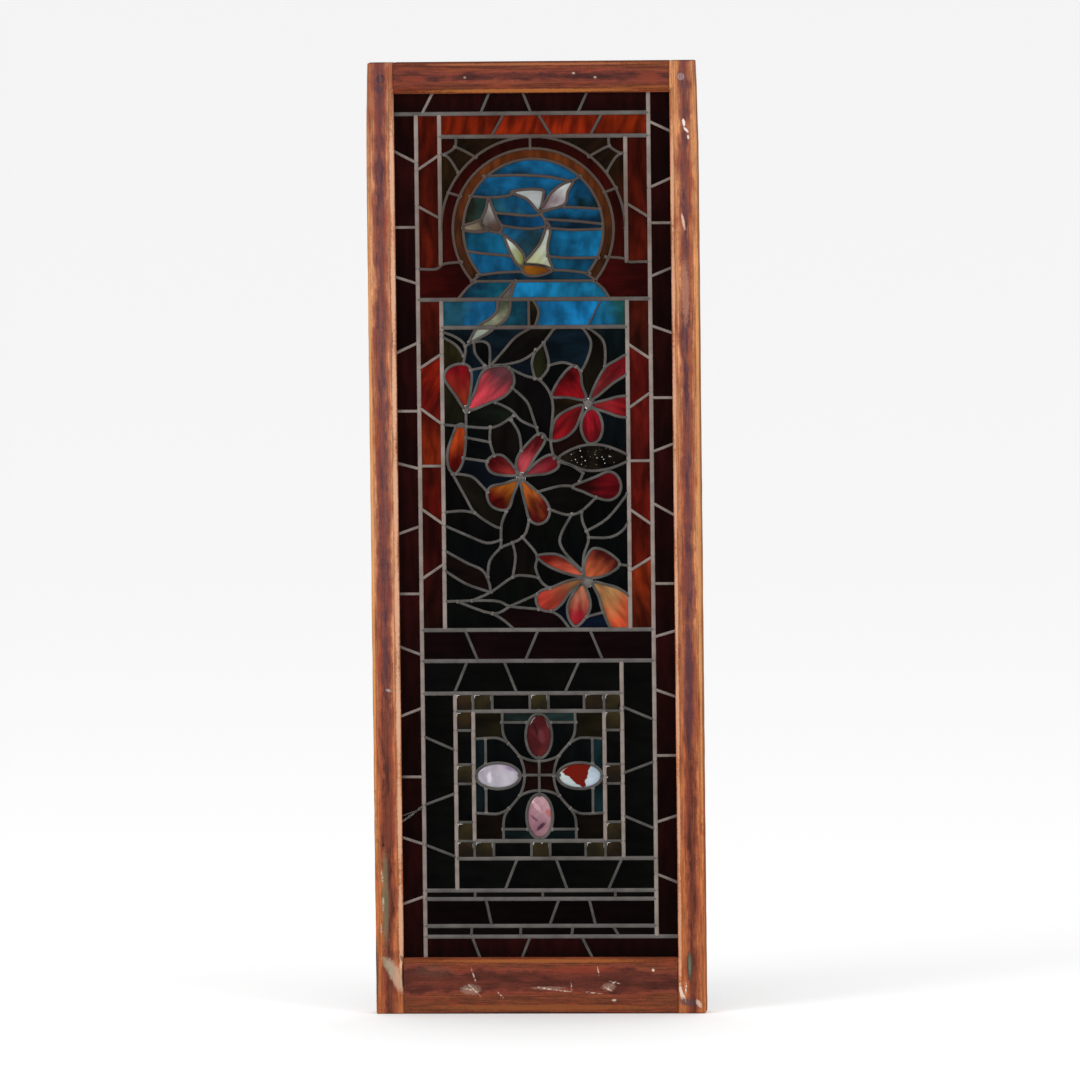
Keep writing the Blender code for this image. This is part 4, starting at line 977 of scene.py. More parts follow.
OWN_TINTS = [  # (a spot in the pane, near colour, far colour, the way the fade runs)
    # Spandrels.
    ((-120, 1218), "#300803", "#240602", (0, 1)), ((120, 1218), "#300803", "#240602", (0, 1)),
    ((-123, 1160), "#1c1306", "#261707", (0, 1)), ((125, 1160), "#2e1005", "#1c0f05", (0, 1)),
    # Sky: greenish at the left edge, dark high on the right and in the middle.
    ((0, 1185), "#0b3148", "#0e5a86", (0.2, 1)), ((-30, 1160), "#0a2c41", "#0d527a", (0, 1)),
    ((75, 1148), "#0c4a70", "#0c1d16", (1, -1)),
    ((60, 1118), "#0a3149", "#105c86", (0, 1)), ((50, 1103), "#0a2234", "#0c2c42", (0, 1)),
    ((55, 1080), "#0b4c6e", "#1274a6", (1, 0)), ((55, 1050), "#0b4a66", "#0a3a54", (1, 0)),
    ((-40, 1132), "#205262", "#0c4f7a", (1, 0)), ((-20, 1110), "#0a3048", "#0c4c78", (1, 0)),
    ((-10, 1088), "#124e70", "#20383e", (1, -1)), ((-80, 1122), "#1c1e16", "#263c36", (1, 0)),
    ((-75, 1080), "#0c465e", "#0e5e84", (1, 0)), ((-60, 1050), "#0c5078", "#0b4668", (1, 0)),
    ((-50, 1031), "#0a2232", "#0b3044", (1, 0)),
    # The sky's foot, the water and the bird that crosses them.
    ((-65, 1012), "#0b2236", "#0d5468", (1, 0)), ((40, 1012), "#1070a0", "#115e80", (1, 0)),
    ((-36, 1008), "#5a5a48", "#6b6272", (0, 1)), ((-100, 980), "#1c4c5e", "#13689c", (1, 0)),
    ((-22, 980), "#0b2a36", "#114658", (-1, 0)), ((-1, 980), "#15130a", "#1d190b", (0, 1)),
    ((50, 985), "#0b4a70", "#0f6ca2", (1, 0)), ((110, 985), "#0f5a80", "#164442", (1, 0)),
    ((-44, 980), "#8b8c74", "#4a4e3c", (0, 1)), ((-74, 954), "#9ca294", "#8a9080", (1, 1)),
    # Leaves and ground of the flower panel.
    ((47, 941), "#08151c", "#0b1b26", (1, 0)), ((-54, 943), "#07131a", "#0a1820", (1, 0)),
    ((117, 950), "#050b0c", "#081214", (0, 1)), ((87, 911), "#130e07", "#0d0905", (0, 1)),
    ((11, 921), "#1c1e0c", "#14150a", (0, 1)), ((-8, 936), "#0a0806", "#0e0b07", (1, 1)),
    ((-13, 906), "#07121a", "#091018", (1, 0)), ((24, 891), "#040606", "#070909", (1, 0)),
    ((0, 876), "#070505", "#0b0808", (0, 1)), ((-35, 862), "#070706", "#0c0b08", (0, 1)),
    ((-65, 843), "#080c08", "#10150d", (1, 0)), ((-115, 848), "#15140a", "#241f0b", (0, 1)),
    ((-86, 884), "#0a1826", "#0c2030", (0, 1)),
    ((-91, 920), "#07101a", "#0a141e", (0, 1)), ((-110, 957), "#050d12", "#08141a", (0, 1)),
    ((43, 855), "#180f07", "#221608", (1, 0)), ((46, 794), "#190706", "#120805", (1, 1)),
    ((-45, 812), "#0b0805", "#0f0b07", (0, 1)), ((37, 757), "#070505", "#0a0807", (1, 0)),
    ((43, 715), "#0a0806", "#0d0a07", (1, 0)), ((-88, 765), "#060b12", "#080f18", (1, 0)),
    ((-74, 787), "#050608", "#07090c", (1, 0)), ((-77, 727), "#14110a", "#0f0c07", (1, -1)),
    ((-16, 626), "#100c07", "#0b0806", (0, 1)), ((107, 815), "#040809", "#060c10", (0, 1)),
    ((87, 545), "#050a18", "#081224", (1, 0)), ((-119, 629), "#100705", "#140906", (1, 0)),
    ((-17, 550), "#160506", "#110405", (1, 0)),
    # Amber that glows where the melt was thin.
    ((-146, 930), "#2c0a04", "#4a0f05", (0, 1)), ((-146, 885), "#64100a", "#8a1a08", (0.6, 1)),
    ((-146, 800), "#6e1f06", "#480c04", (0, 1)), ((-146, 735), "#5c0d04", "#430a04", (0, 1)),
    ((-146, 660), "#2e0604", "#230503", (0, 1)), ((-146, 580), "#1a0603", "#2a0704", (0, 1)),
    ((146, 965), "#2a0c05", "#421006", (0, 1)), ((146, 890), "#520d08", "#5c120c", (0, 1)),
    ((146, 820), "#440c08", "#581009", (0, 1)), ((146, 735), "#5e1107", "#430c06", (0, 1)),
    ((146, 660), "#571205", "#3c0b04", (0, 1)), ((146, 580), "#7c2608", "#441205", (0.3, -1)),
    # The lobes' corners, bars and cross.
    ((-77, 400), "#131008", "#1a1509", (1, 0)), ((76, 400), "#151208", "#1c170a", (1, 0)),
    ((-77, 263), "#0e0804", "#120a05", (1, 0)), ((76, 263), "#0e0804", "#120b05", (1, 0)),
    ((-33, 416), "#1e2a28", "#16211f", (1, 0)), ((33, 416), "#1a2826", "#203230", (1, 0)),
    ((-33, 250), "#0b1516", "#0f1b1c", (1, 0)), ((33, 250), "#0c1a1c", "#0a1618", (1, 0)),
    ((-84, 302), "#0a1518", "#0e1d22", (0, 1)), ((-84, 366), "#0a1518", "#0d1a1e", (0, 1)),
    ((84, 302), "#0c2226", "#0a1a1e", (0, 1)), ((84, 366), "#0c2226", "#10262a", (0, 1)),
    ((-6, 343), "#1c0805", "#140603", (0, 1)), ((6, 343), "#1e0905", "#160603", (0, 1)),
    ((-6, 324), "#180703", "#120502", (0, 1)), ((6, 324), "#1a0703", "#140502", (0, 1)),
]


def tint_of(loop, home):
    """(near, far, aim) of one pane; the aim is a direction across the pane."""
    area, number = home
    for spot, near, far, aim in OWN_TINTS:
        if inside(np.array([spot]), loop)[0]:
            return near, far, aim
    if area in PETAL_TINTS:
        near, far = PETAL_TINTS[area][min(number, len(PETAL_TINTS[area]) - 1)]
        shape = drawn[area][number]
        return near, far, Vector(shape[len(shape) // 2]) - Vector(shape[0])
    pairs, aim = next(AREA_TINTS[key] for key in sorted(AREA_TINTS, key=len, reverse=True)
                      if area.startswith(key))
    return (*random.choice(pairs), aim)


print("areas:", len(AREA_TINTS), "petals:", sum(map(len, PETAL_TINTS.values())),
      "own tints:", len(OWN_TINTS))

# %% [markdown]
# ### Cutting one pane
# A pane is its outline, pushed out to the thickness of rolled glass. It is set by hand, so each
# one leans by a hair in its lead, which is what makes old windows glitter.

# %% Panes
GLASS_FRONT, GLASS_BACK = -1.4, 1.6
PLAY = 0.25  # how far a leaning pane's edge moves inside the lead
LIGHT_THROUGH = (0.55, 0.78)  # old sheets differ in how much light they give back
SQUARE_BELOW = 1.7  # the ring's squares are less drawn out than this, its bars more
JEWEL_TINTS = [("#180f05", "#241807"), ("#140c04", "#1f1405"), ("#1b1506", "#261e0a")]
PRESSED_STEPS = ((0.9, 0.8), (0.9, 0.6), (1.1, 0.4), (1.4, 0.2))  # how far in, how far out
GRAIN_UNIT = 100.0  # millimetres of glass to one unit of the grain's pattern


def cut_pane(loop):
    """A bmesh slab of one pane."""
    mesh = bmesh.new()
    face = mesh.faces.new([mesh.verts.new((x, GLASS_FRONT, z)) for x, z in loop])
    pushed = bmesh.ops.extrude_face_region(mesh, geom=[face], use_keep_orig=True)
    back = [v for v in pushed["geom"] if isinstance(v, bmesh.types.BMVert)]
    bmesh.ops.translate(mesh, vec=(0, GLASS_BACK - GLASS_FRONT, 0), verts=back)
    return mesh


def is_square(loop):
    corners = np.array(loop)
    wide, high = corners.max(axis=0) - corners.min(axis=0)
    return max(wide, high) / min(wide, high) < SQUARE_BELOW


def pressed(mesh):
    """Presses the front of a pane into a low pillow, as the small squares of the ring are."""
    front = min(mesh.faces, key=lambda face: face.calc_center_median().y)
    for inset, rise in PRESSED_STEPS:
        bmesh.ops.inset_region(mesh, faces=[front], thickness=inset, depth=0.0)
        bmesh.ops.translate(mesh, vec=(0, -rise, 0), verts=front.verts)


def leaned(mesh):
    middle = sum((v.co for v in mesh.verts), Vector()) / len(mesh.verts)
    reach = max((v.co - middle).length for v in mesh.verts)
    axis = Vector((random.uniform(-1, 1), 0, random.uniform(-1, 1))).normalized()
    lean = Matrix.Rotation(random.uniform(-1, 1) * PLAY / reach, 3, axis)
    bmesh.ops.rotate(mesh, cent=middle, matrix=lean, verts=mesh.verts)


def tinted(mesh, near, far, aim, light=1.0):
    """Writes the pane's two colours, its fade along the aim and its grain."""
    layers = mesh.verts.layers
    near_layer, far_layer = layers.float_color.new("near"), layers.float_color.new("far")
    fade_layer, grain_layer = layers.float.new("fade"), mesh.loops.layers.uv.new("Grain")
    aim = Vector((aim[0], 0, aim[1])).normalized()
    across = Vector((aim.z, 0, -aim.x))
    depths = [v.co.dot(aim) for v in mesh.verts]
    low, high = min(depths), max(depths)
    start = Vector((random.uniform(0, 50), random.uniform(0, 50)))
    for vert, depth in zip(mesh.verts, depths):
        vert[near_layer] = [c * light for c in paint(near)[:3]] + [1.0]
        vert[far_layer] = [c * light for c in paint(far)[:3]] + [1.0]
        vert[fade_layer] = (depth - low) / (high - low)
    for face in mesh.faces:
        for corner in face.loops:
            place = corner.vert.co
            along = Vector((place.dot(aim), place.dot(across)))
            corner[grain_layer].uv = start + along / GRAIN_UNIT


def added(whole, mesh):
    """Moves a small bmesh into a large one."""
    bmesh.ops.recalc_face_normals(mesh, faces=mesh.faces)
    data = bpy.data.meshes.new("part")
    mesh.to_mesh(data)
    mesh.free()
    whole.from_mesh(data)
    bpy.data.meshes.remove(data)


sheets, squares = {}, bmesh.new()
for (_, loops), home in zip(panes, homes):
    if home[0].startswith("oval"):
        continue
    mesh = cut_pane(loops[0])
    if home[0] == "jewel_ring" and is_square(loops[0]):
        pressed(mesh)
        tinted(mesh, *random.choice(JEWEL_TINTS), (0, 1))
        added(squares, mesh)
        continue
    tinted(mesh, *tint_of(loops[0], home), random.uniform(*LIGHT_THROUGH))
    leaned(mesh)
    added(sheets.setdefault(home[0], bmesh.new()), mesh)
print("sheets of panes:", len(sheets))

# %% [markdown]
# ### The finish of each sheet
# The mottle, the streaks and the ripple differ by kind of glass: deep ruby is even and amber is
# strongly streaked. In most panes the grain runs with the fade, but in the sky it runs across it.

# %% Glass finishes
glass_kinds = {  # slot: (mottle, streak, ripple, (grain along the fade, across it))
    "glass_ruby": (0.6, 0.30, 0.25, (1, 4)), "glass_amber": (1.1, 0.45, 0.3, (1, 4)),
    "glass_brown": (0.8, 0.35, 0.3, (1, 4)), "glass_deep_red": (0.7, 0.30, 0.25, (1, 4)),
    "glass_sky": (1.6, 0.35, 0.3, (2.6, 1.3)), "glass_white": (1.0, 0.15, 0.3, (1, 5)),
    "glass_leaf": (0.8, 0.35, 0.4, (1, 3)), "glass_rose": (1.0, 0.30, 0.3, (1, 4)),
    "glass_orange": (1.0, 0.35, 0.3, (1, 4)), "glass_scarlet": (1.0, 0.45, 0.3, (1, 4)),
    "glass_bottle_green": (0.8, 0.30, 0.3, (1, 3)),
    "glass_jewel": (0.6, 0.40, 0.3, (2, 2)),
}
glass_finish = {slot: glass(slot, *kind) for slot, kind in glass_kinds.items()}


# The two clusters are painted glints: white spots painted into the pebbled glass's colour.
PAINTED_GLINT_X, PAINTED_GLINT_Z = (62, 96), 0.778  # the middles of the two clusters, in mm and in metres


def pebbled():
    """Dark hammered glass with bumps, and white glints painted into its colour in two clusters."""
    material = glass("glass_pebbled", 1.0, 0.6, 0.3, (2, 2))
    tree, shader = material.node_tree, material.node_tree.nodes["Principled BSDF"]
    place = object_place(tree)
    cells = node(tree, "ShaderNodeTexVoronoi", {"Vector": place, "Scale": 300.0}).outputs
    bumped(tree, shader, cells["Distance"], 0.4, 0.001)
    dark = shader.inputs["Base Color"].links[0].from_socket
    painted_glint = eased(tree, cells["Distance"], 0.10, 0.32, 1.0, 0.0)
    chosen = eased(tree, cells["Color"], 0.52, 0.56)
    painted_glint = times(tree, painted_glint, chosen)
    for x in PAINTED_GLINT_X:
        away = away_from(tree, place, x * MM, PAINTED_GLINT_Z)
        painted_glint_here = times(tree, painted_glint, eased(tree, away, 0.010, 0.017, 1.0, 0.0))
        dark = mixed(tree, painted_glint_here, dark, paint("#c4c8c2"))
    tree.links.new(dark, shader.inputs["Base Color"])
    return material


glass_finish["glass_pebbled"] = pebbled()
slot_of_node = {}
for slot, ends in {
    "glass_ruby": ["border_top", "border_left", "border_right", "border_bottom"],
    "glass_amber": ["amber_top", "amber_upper_left", "amber_upper_right", "amber_lower_left",
                    "amber_lower_right"],
    "glass_brown": ["spandrel_left", "spandrel_right", "arch_inner_ring"],
    "glass_deep_red": ["arch_outer_ring", "shoulder_left", "shoulder_right", "strip_upper",
                       "strip_lower"],
    "glass_sky": ["sky", "sky_foot", "water_band"],
    "glass_white": ["bird_high", "bird_left", "bird_low"],
    "glass_leaf": ["flower_ground", "quatrefoil"],
    "glass_rose": ["flower_pink"],
    "glass_orange": ["flower_orange_bell", "flower_low"],
    "glass_scarlet": ["flower_red", "flower_middle", "bud"],
    "glass_pebbled": ["leaf_pebbled"],
    "glass_bottle_green": ["green_top", "green_left", "green_right", "green_bottom",
                           "thin_upper", "thin_lower"],
    "glass_jewel": ["jewel_ring"],
}.items():
    slot_of_node.update({end: slot for end in ends})
for area, mesh in sheets.items():
    slot = slot_of_node[area]
    settled(mesh, f"panes_{area}", [f"glass_{area}"], glass_finish[slot], smooth=False)
settled(squares, "pressed_squares", ["glass_jewel_ring"],
        glass("glass_pressed", 0.6, 0.4, 0.3, (2, 2), (0.08, 1.0)))
print("glass pieces:", len(sheets) + 1)

# %% [markdown]
# ### Cast ovals
# The four ovals of the quatrefoil are cast cabochons: a dome in front and flat behind. A sphere is
# stretched to the oval and its back cut off.

# %% Ovals
OVAL_RISE, OVAL_MIDDLE, OVAL_EDGE = 4.6, 0.1, 1.2
oval_tints = {  # name: (near colour, far colour, the way the fade runs, mottle)
    "top": ("#501c1e", "#3a1113", (-1, 0.4), 1.8), "left": ("#978f9a", "#a5a2aa", (0.3, -1), 1.2),
    "bottom": ("#7f5a64", "#a17d83", (1, 1), 1.2), "right": ("#a9b2b0", "#9aa8b4", (1, 0), 0.8),
}
oval_marks = {  # name: (x, z, half length, half width, turn, colour, strength) of each stain
    "top": [(-4, 398, 14, 3, 70, "#221012", 0.8), (4, 388, 13, 6, 80, "#683439", 0.4)],
    "left": [(-36, 343, 16, 5, 10, "#766580", 0.7), (-70, 331, 10, 4, 90, "#cfcdd4", 0.6)],
    "bottom": [(2, 262, 11, 3.4, -40, "#3a1c2e", 0.9), (13, 281, 8, 5, 60, "#9c4840", 0.7),
               (-4, 290, 12, 4, 50, "#c09aa0", 0.6), (-7, 273, 9, 2.4, 40, "#4a2a3c", 0.7)],
    "right": [],
}


def oval_finish(name, mottle):
    """One cabochon's glass with its stains. The right one has a dark red wedge in it."""
    material = glass(f"oval_{name}", mottle, 0.15, 0.15, (1.5, 3), (0.07, 0.4))
    tree, shader = material.node_tree, material.node_tree.nodes["Principled BSDF"]
    place = object_place(tree)
    torn = torn_edges(tree, place)
    colour = shader.inputs["Base Color"].links[0].from_socket
    for x, z, long, wide, turn, tone, strength in oval_marks[name]:
        stain = times(tree, patch(tree, place, torn, x, z, long, wide, turn), strength)
        colour = mixed(tree, stain, colour, paint(tone))
    if name == "right":
        above = beyond(tree, place, 46, QUATREFOIL_Z - 6, 0.57, 0.82)
        wedge = times(tree, above, beyond(tree, place, 68, QUATREFOIL_Z, -0.95, 0.3))
        colour = mixed(tree, wedge, colour, paint("#5e1208"))
    tree.links.new(colour, shader.inputs["Base Color"])
    return material


for name, shape in oval_shapes.items():
    corners = np.array(shape)
    half_x, half_z = (corners.max(axis=0) - corners.min(axis=0)) / 2 - OVAL_EDGE
    middle_x, middle_z = (corners.max(axis=0) + corners.min(axis=0)) / 2
    dome = bmesh.new()
    bmesh.ops.create_uvsphere(dome, u_segments=40, v_segments=24, radius=1.0)
    bmesh.ops.rotate(dome, matrix=Matrix.Rotation(math.pi / 2, 3, "X"), verts=dome.verts)
    bmesh.ops.scale(dome, vec=(half_x, OVAL_RISE, half_z), verts=dome.verts)
    bmesh.ops.translate(dome, vec=(middle_x, OVAL_MIDDLE, middle_z), verts=dome.verts)
    cut = bmesh.ops.bisect_plane(dome, geom=[*dome.verts, *dome.edges, *dome.faces],
                                 plane_co=(0, GLASS_BACK, 0), plane_no=(0, 1, 0), clear_outer=True)
    rim = [e for e in cut["geom_cut"] if isinstance(e, bmesh.types.BMEdge)]
    bmesh.ops.edgeloop_fill(dome, edges=rim)
    near, far, aim, mottle = oval_tints[name]
    tinted(dome, near, far, aim)
    slot = "glass_rose" if name == "top" else "glass_white"
    settled(dome, f"cabochon_{name}", [f"glass_oval_{name}"], oval_finish(name, mottle))
print("ovals:", len(oval_shapes))

# %% [markdown]
# ## The leads
# Came is an H-shaped strip of cast lead: a thin heart between two rounded flanges that grip the
# glass. The profile is drawn once and carried along every path. Each stretch is an extrusion that
# a matrix moves to the next bend, so the corners are mitred as the glazier bends them.

# %% Came profile and sweep
GRIP, BACK_GRIP = -1.7, 1.9  # the flanges' inner faces, which grip the glass
CREST, BACK_CREST = -3.3, 3.5
STIFFER = 0.08  # a framing lead stands this much higher, so that it covers the ones that meet it


def came_profile(width, rise=0.0):
    """(across, depth) round the H, from one flange tip to the next."""
    half, heart = width / 2, HEART / 2
    sides = []
    for inner, lip, crest, way in ((GRIP, -2.3, CREST, -1), (BACK_GRIP, 2.5, BACK_CREST, 1)):
        top = crest + way * rise
        shoulder = top - 0.35 * way
        sides.append([(half, inner), (half, lip), (0.72 * half, shoulder), (0.3 * half, top)])
    front = [(-a, d) for a, d in sides[0]] + sides[0][::-1]
    back = sides[1] + [(-a, d) for a, d in sides[1][::-1]]
    right, left = [(heart, GRIP), (heart, BACK_GRIP)], [(-heart, BACK_GRIP), (-heart, GRIP)]
    return front + right + back + left


def stations(path, closed):
    """One matrix for each point of the path: across the came, through it, and along it."""
    points = [Vector((p[0], 0.0, p[1])) for p in path]
    count, made = len(points), []
    for i, point in enumerate(points):
        before = points[i - 1] if i or closed else None
        after = points[(i + 1) % count] if i + 1 < count or closed else None
        into = (point - before).normalized() if before else (after - point).normalized()
        out = (after - point).normalized() if after else into
        along = (into + out).normalized()
        wider = 1 / max(along.dot(out), 0.5)
        across = Vector((along.z, 0, -along.x)) * wider
        turned = Matrix((across, Vector((0, 1, 0)), along)).transposed().to_4x4()
        made.append(Matrix.Translation(point) @ turned)
    return made + made[:1] if closed else made


def swept(path, profile, closed=False):
    """A bmesh of one came along a path."""
    mesh = bmesh.new()
    frames = stations(path, closed)
    ring = [mesh.verts.new((a, d, 0)) for a, d in profile]
    edges = [mesh.edges.new(pair) for pair in zip(ring, ring[1:] + ring[:1])]
    bmesh.ops.transform(mesh, matrix=frames[0], verts=ring)
    first = edges
    for here, there in zip(frames, frames[1:]):
        grown = bmesh.ops.extrude_edge_only(mesh, edges=edges)["geom"]
        moved = [v for v in grown if isinstance(v, bmesh.types.BMVert)]
        edges = [e for e in grown if isinstance(e, bmesh.types.BMEdge)]
        bmesh.ops.transform(mesh, matrix=there @ here.inverted(), verts=moved)
    if closed:
        bmesh.ops.remove_doubles(mesh, verts=mesh.verts, dist=0.01)
    else:
        bmesh.ops.edgeloop_fill(mesh, edges=first)
        bmesh.ops.edgeloop_fill(mesh, edges=edges)
    return mesh


uprights, crossbars, side_leads, narrow_leads = (bmesh.new() for _ in range(4))
for path in framing:
    is_upright = path[0][0] == path[1][0]
    added(uprights if is_upright else crossbars, swept(path, came_profile(CAME, STIFFER)))
for path in thin_leads:
    at_side = all(abs(x) > INNER_X - CAME for x, z in path)
    added(side_leads if at_side else narrow_leads, swept(path, came_profile(THIN_CAME)))
for path in rounds:
    added(narrow_leads, swept(path, came_profile(THIN_CAME), True))
for path in repair_leads:
    added(narrow_leads, swept(path, came_profile(REPAIR_CAME)))
nets = (uprights, crossbars, side_leads, narrow_leads)
print("faces of lead:", sum(len(net.faces) for net in nets))

# %% [markdown]
# ### Solder
# Leads are joined by a drop of solder at each end, which floods into a low round pillow on both
# faces. The flowers' petals meet in larger pools.

# %% Solder joints
def solder(x, z, radius, rise):
    """Two flattened balls, one on each face of the lead."""
    drops = bmesh.new()
    for crest, way in ((CREST, -1), (BACK_CREST, 1)):
        ball = bmesh.ops.create_uvsphere(drops, u_segments=12, v_segments=6, radius=1.0)["verts"]
        turn = Matrix.Rotation(math.pi / 2, 3, "X")
        bmesh.ops.rotate(drops, matrix=turn, verts=ball)
        stretch = (radius * random.uniform(0.9, 1.2), rise, radius * random.uniform(0.9, 1.2))
        bmesh.ops.scale(drops, vec=stretch, verts=ball)
        bmesh.ops.translate(drops, vec=(x, crest + way * (0.06 - rise), z), verts=ball)
    return drops


joints = bmesh.new()
ends = [Vector(end) for path in [*bent, *straight, *framing] for end in (path[0], path[-1])]
in_oval = np.any([inside(np.array(ends), shape) for shape in oval_shapes.values()], axis=0)
CLEAR, APART = 3, 4  # of a joint from the wood, and from the next joint
spaced = []
for end, hidden in zip(ends, in_oval):
    in_sight = abs(end.x) < SIGHT - CLEAR and SIGHT_LOW + CLEAR < end.y < SIGHT_TOP - CLEAR
    if in_sight and not hidden and all((end - other).length > APART for other in spaced):
        spaced.append(end)
DROP, DROP_RISE, POOL_RISE = 2.6, 0.55, 1.2
for x, z in spaced:
    added(joints, solder(x, z, DROP, DROP_RISE))
for x, z, radius in HUBS.values():
    added(joints, solder(x, z, radius + 1.0, POOL_RISE))
print("solder joints:", len(spaced), "and", len(HUBS), "pools")

# %% [markdown]
# ### Old lead
# Lead tarnishes to a dull warm grey in cloudy patches, and is browner round the arch. The upright
# leads are paler, as painted light, and the crossing ones darker, as painted shade; the short ones
# at the sides are paler too, and those of the picture are the darkest.

# %% Lead finish
def old_lead(name, dark, light, roughness):
    material, tree, shader = new_material(name, roughness)
    shader.inputs["Metallic"].default_value = 0.2
    place = object_place(tree)
    clouds = cloudy(tree, place, 34.0, 4.0, 0.6)
    colour = mixed(tree, eased(tree, clouds, 0.2, 0.8), paint(dark), paint(light))
    off = away_from(tree, place, 0, ARCH_Z * MM)
    sooty = eased(tree, off, 0.11, 0.20, 0.75, 0.0)
    colour = mixed(tree, sooty, colour, paint("#49362c"))
    tree.links.new(colour, shader.inputs["Base Color"])
    bumped(tree, shader, cloudy(tree, place, 420.0, 3.0), 0.25, 0.0006)
    return material


lead_finish = {
    # The uprights' paler colours and the crossing leads' darker ones are painted light and painted
    # shade on one kind of lead.
    "leads_upright": (uprights, old_lead("lead_upright_painted_light", "#72665f", "#93867f", 0.55)),
    "leads_across": (crossbars, old_lead("lead_across_painted_shade", "#4b4744", "#68635f", 0.6)),
    "leads_at_the_sides": (side_leads, old_lead("lead_side", "#5f5650", "#8f827b", 0.55)),
    "leads_of_the_picture": (narrow_leads, old_lead("lead_picture", "#383632", "#5a5652", 0.6)),
}
for name, (mesh, finish) in lead_finish.items():
    settled(mesh, name, ["lead_came"], finish, smooth=False)
settled(joints, "solder_joints", ["lead_came"],
        old_lead("solder_dull", "#4c4743", "#77706b", 0.55))
print("lead pieces:", len(lead_finish) + 1)

# %% [markdown]
# ## Varnished wood
# The sash is softwood under an old red-brown varnish. It has gone dark along the middle of each
# member, where hands and dirt reach, and is paler along its outer edges. The chamfers beside the
# glass are painted lighter, as painted light, and thin dark strips at the foot and low on the left
# edge are painted shade. The colour is built in layers: broad bands and fine fibres, rusty
# blotches, the stain with its red margins, and patches of wear, painted light and painted shade
# that each have a place on the wood.

# %% Wood shader
# The first of these colours is painted light, for the lit chamfers beside the glass.
PAINTED_CHAMFER_LIGHT, CREAM, RUST, SMOKE, MOSS = "#d9a888", "#ddd0c4", "#7a3018", "#4b3a40", "#6a6a50"
PURPLE, UMBER, RED, GOLD = "#4a2a33", "#43190e", "#7d3424", "#c48a4e"


def wood(name, upright, tones, stain_at=0.0, stain_half=0.0, patches=(), stain=UMBER):
    """Varnished softwood with a stain along it, at one place across it, in metres."""
    material, tree, shader = new_material(name, 0.5, 0.25)
    place = object_place(tree)
    parts = node(tree, "ShaderNodeSeparateXYZ", {0: place}).outputs
    lengthwise = stretched(tree, place, (1, 1, 0.03) if upright else (0.03, 1, 1))
    drawn_out = stretched(tree, place, (1, 1, 0.22) if upright else (0.22, 1, 1))
    lengthwise_short = stretched(tree, place, (1, 1, 0.3) if upright else (0.3, 1, 1))
    fibres = cloudy(tree, lengthwise, 520.0, 4.0, 0.7)
    broad = cloudy(tree, lengthwise, 95.0, 3.0)
    blots = cloudy(tree, drawn_out, 60.0, 5.0, 0.7)
    streaks = cloudy(tree, drawn_out, 240.0, 4.0, 0.75)
    pale, deep, foot = tones
    colour = mixed(tree, eased(tree, broad, 0.35, 0.65), paint(pale), paint(deep))
    colour = mixed(tree, eased(tree, parts["Z"], 0.15, 0.7, 0.8, 0.0), colour, paint(foot))
    colour = mixed(tree, eased(tree, blots, 0.48, 0.66, 0.0, 0.75), colour, paint(RUST))
    colour = dimmed(tree, colour, eased(tree, fibres, 0.3, 0.7, 0.72, 1.22))
    colour = dimmed(tree, colour, eased(tree, streaks, 0.35, 0.65, 0.85, 1.12))
    if stain_half:
        across = maths(tree, "SUBTRACT", parts["X"] if upright else parts["Z"], stain_at)
        only_along = stretched(tree, place, (0, 0, 1) if upright else (1, 0, 0))
        bend = swing(tree, cloudy(tree, only_along, 9.0, 3.0, 0.5))
        torn_edge = swing(tree, streaks)
        shifted = maths(tree, "ADD", across, times(tree, bend, 0.012))
        away = maths(tree, "ADD", maths(tree, "ABSOLUTE", shifted),
                     times(tree, torn_edge, 0.011))
        width = eased(tree, cloudy(tree, only_along, 14.0, 3.0, 0.6), 0.3, 0.7,
                      0.55 * stain_half, 1.15 * stain_half)
        past = maths(tree, "SUBTRACT", away, width)
        colour = mixed(tree, eased(tree, past, -0.001, 0.004, 0.7, 0.0), colour, paint(RED))
        dark = times(tree, eased(tree, past, -0.006, 0.001, 0.95, 0.0),
                     eased(tree, blots, 0.32, 0.66, 1.0, 0.45))
        foot_stain = eased(tree, parts["Z"], 0.30, 0.60, 1.0, 0.0)
        tone = mixed(tree, foot_stain, paint(stain), paint(UMBER))
        colour = mixed(tree, dark, colour, tone)
    specks = cloudy(tree, lengthwise_short, 900.0, 3.0, 0.8)
    grain = times(tree, eased(tree, fibres, 0.35, 0.65, 0.86, 1.13),
                  eased(tree, specks, 0.34, 0.5, 0.72, 1.04))
    colour = dimmed(tree, colour, grain)
    front = eased(tree, parts["Y"], -0.010, -0.006, 1.0, 0.0)
    torn = torn_edges(tree, place)
    broken = eased(tree, cloudy(tree, place, 380.0, 3.0, 0.7), 0.42, 0.58)
    # The patches hold wear, and also painted light on the chamfers and painted shade along some
    # edges.
    for x, z, long, wide, turn, mark, strength in patches:
        worn = times(tree, patch(tree, place, torn, x, z, long, wide, turn), front)
        if wide < THIN_MARK:
            worn = times(tree, worn, broken)
        colour = mixed(tree, times(tree, worn, strength), colour, paint(mark))
    tree.links.new(colour, shader.inputs["Base Color"])
    bumped(tree, shader, fibres, 0.3, 0.0008)
    return material

# %% [markdown]
# ### Each member's own wear, painted light and painted shade
# Every patch is (x, z, half its length, half its width, its turn, colour, strength). A scratch is
# a very thin patch, and its paint is broken into dashes.

# %% Finishes of the sash
THIN_MARK = 2.0


def scratch(x0, z0, x1, z1, tone="#cfbcab", strength=0.75):
    long = math.hypot(x1 - x0, z1 - z0) / 2
    turn = math.degrees(math.atan2(z0 - z1, x1 - x0))
    return ((x0 + x1) / 2, (z0 + z1) / 2, long + 2, 1.3, turn, tone, strength)


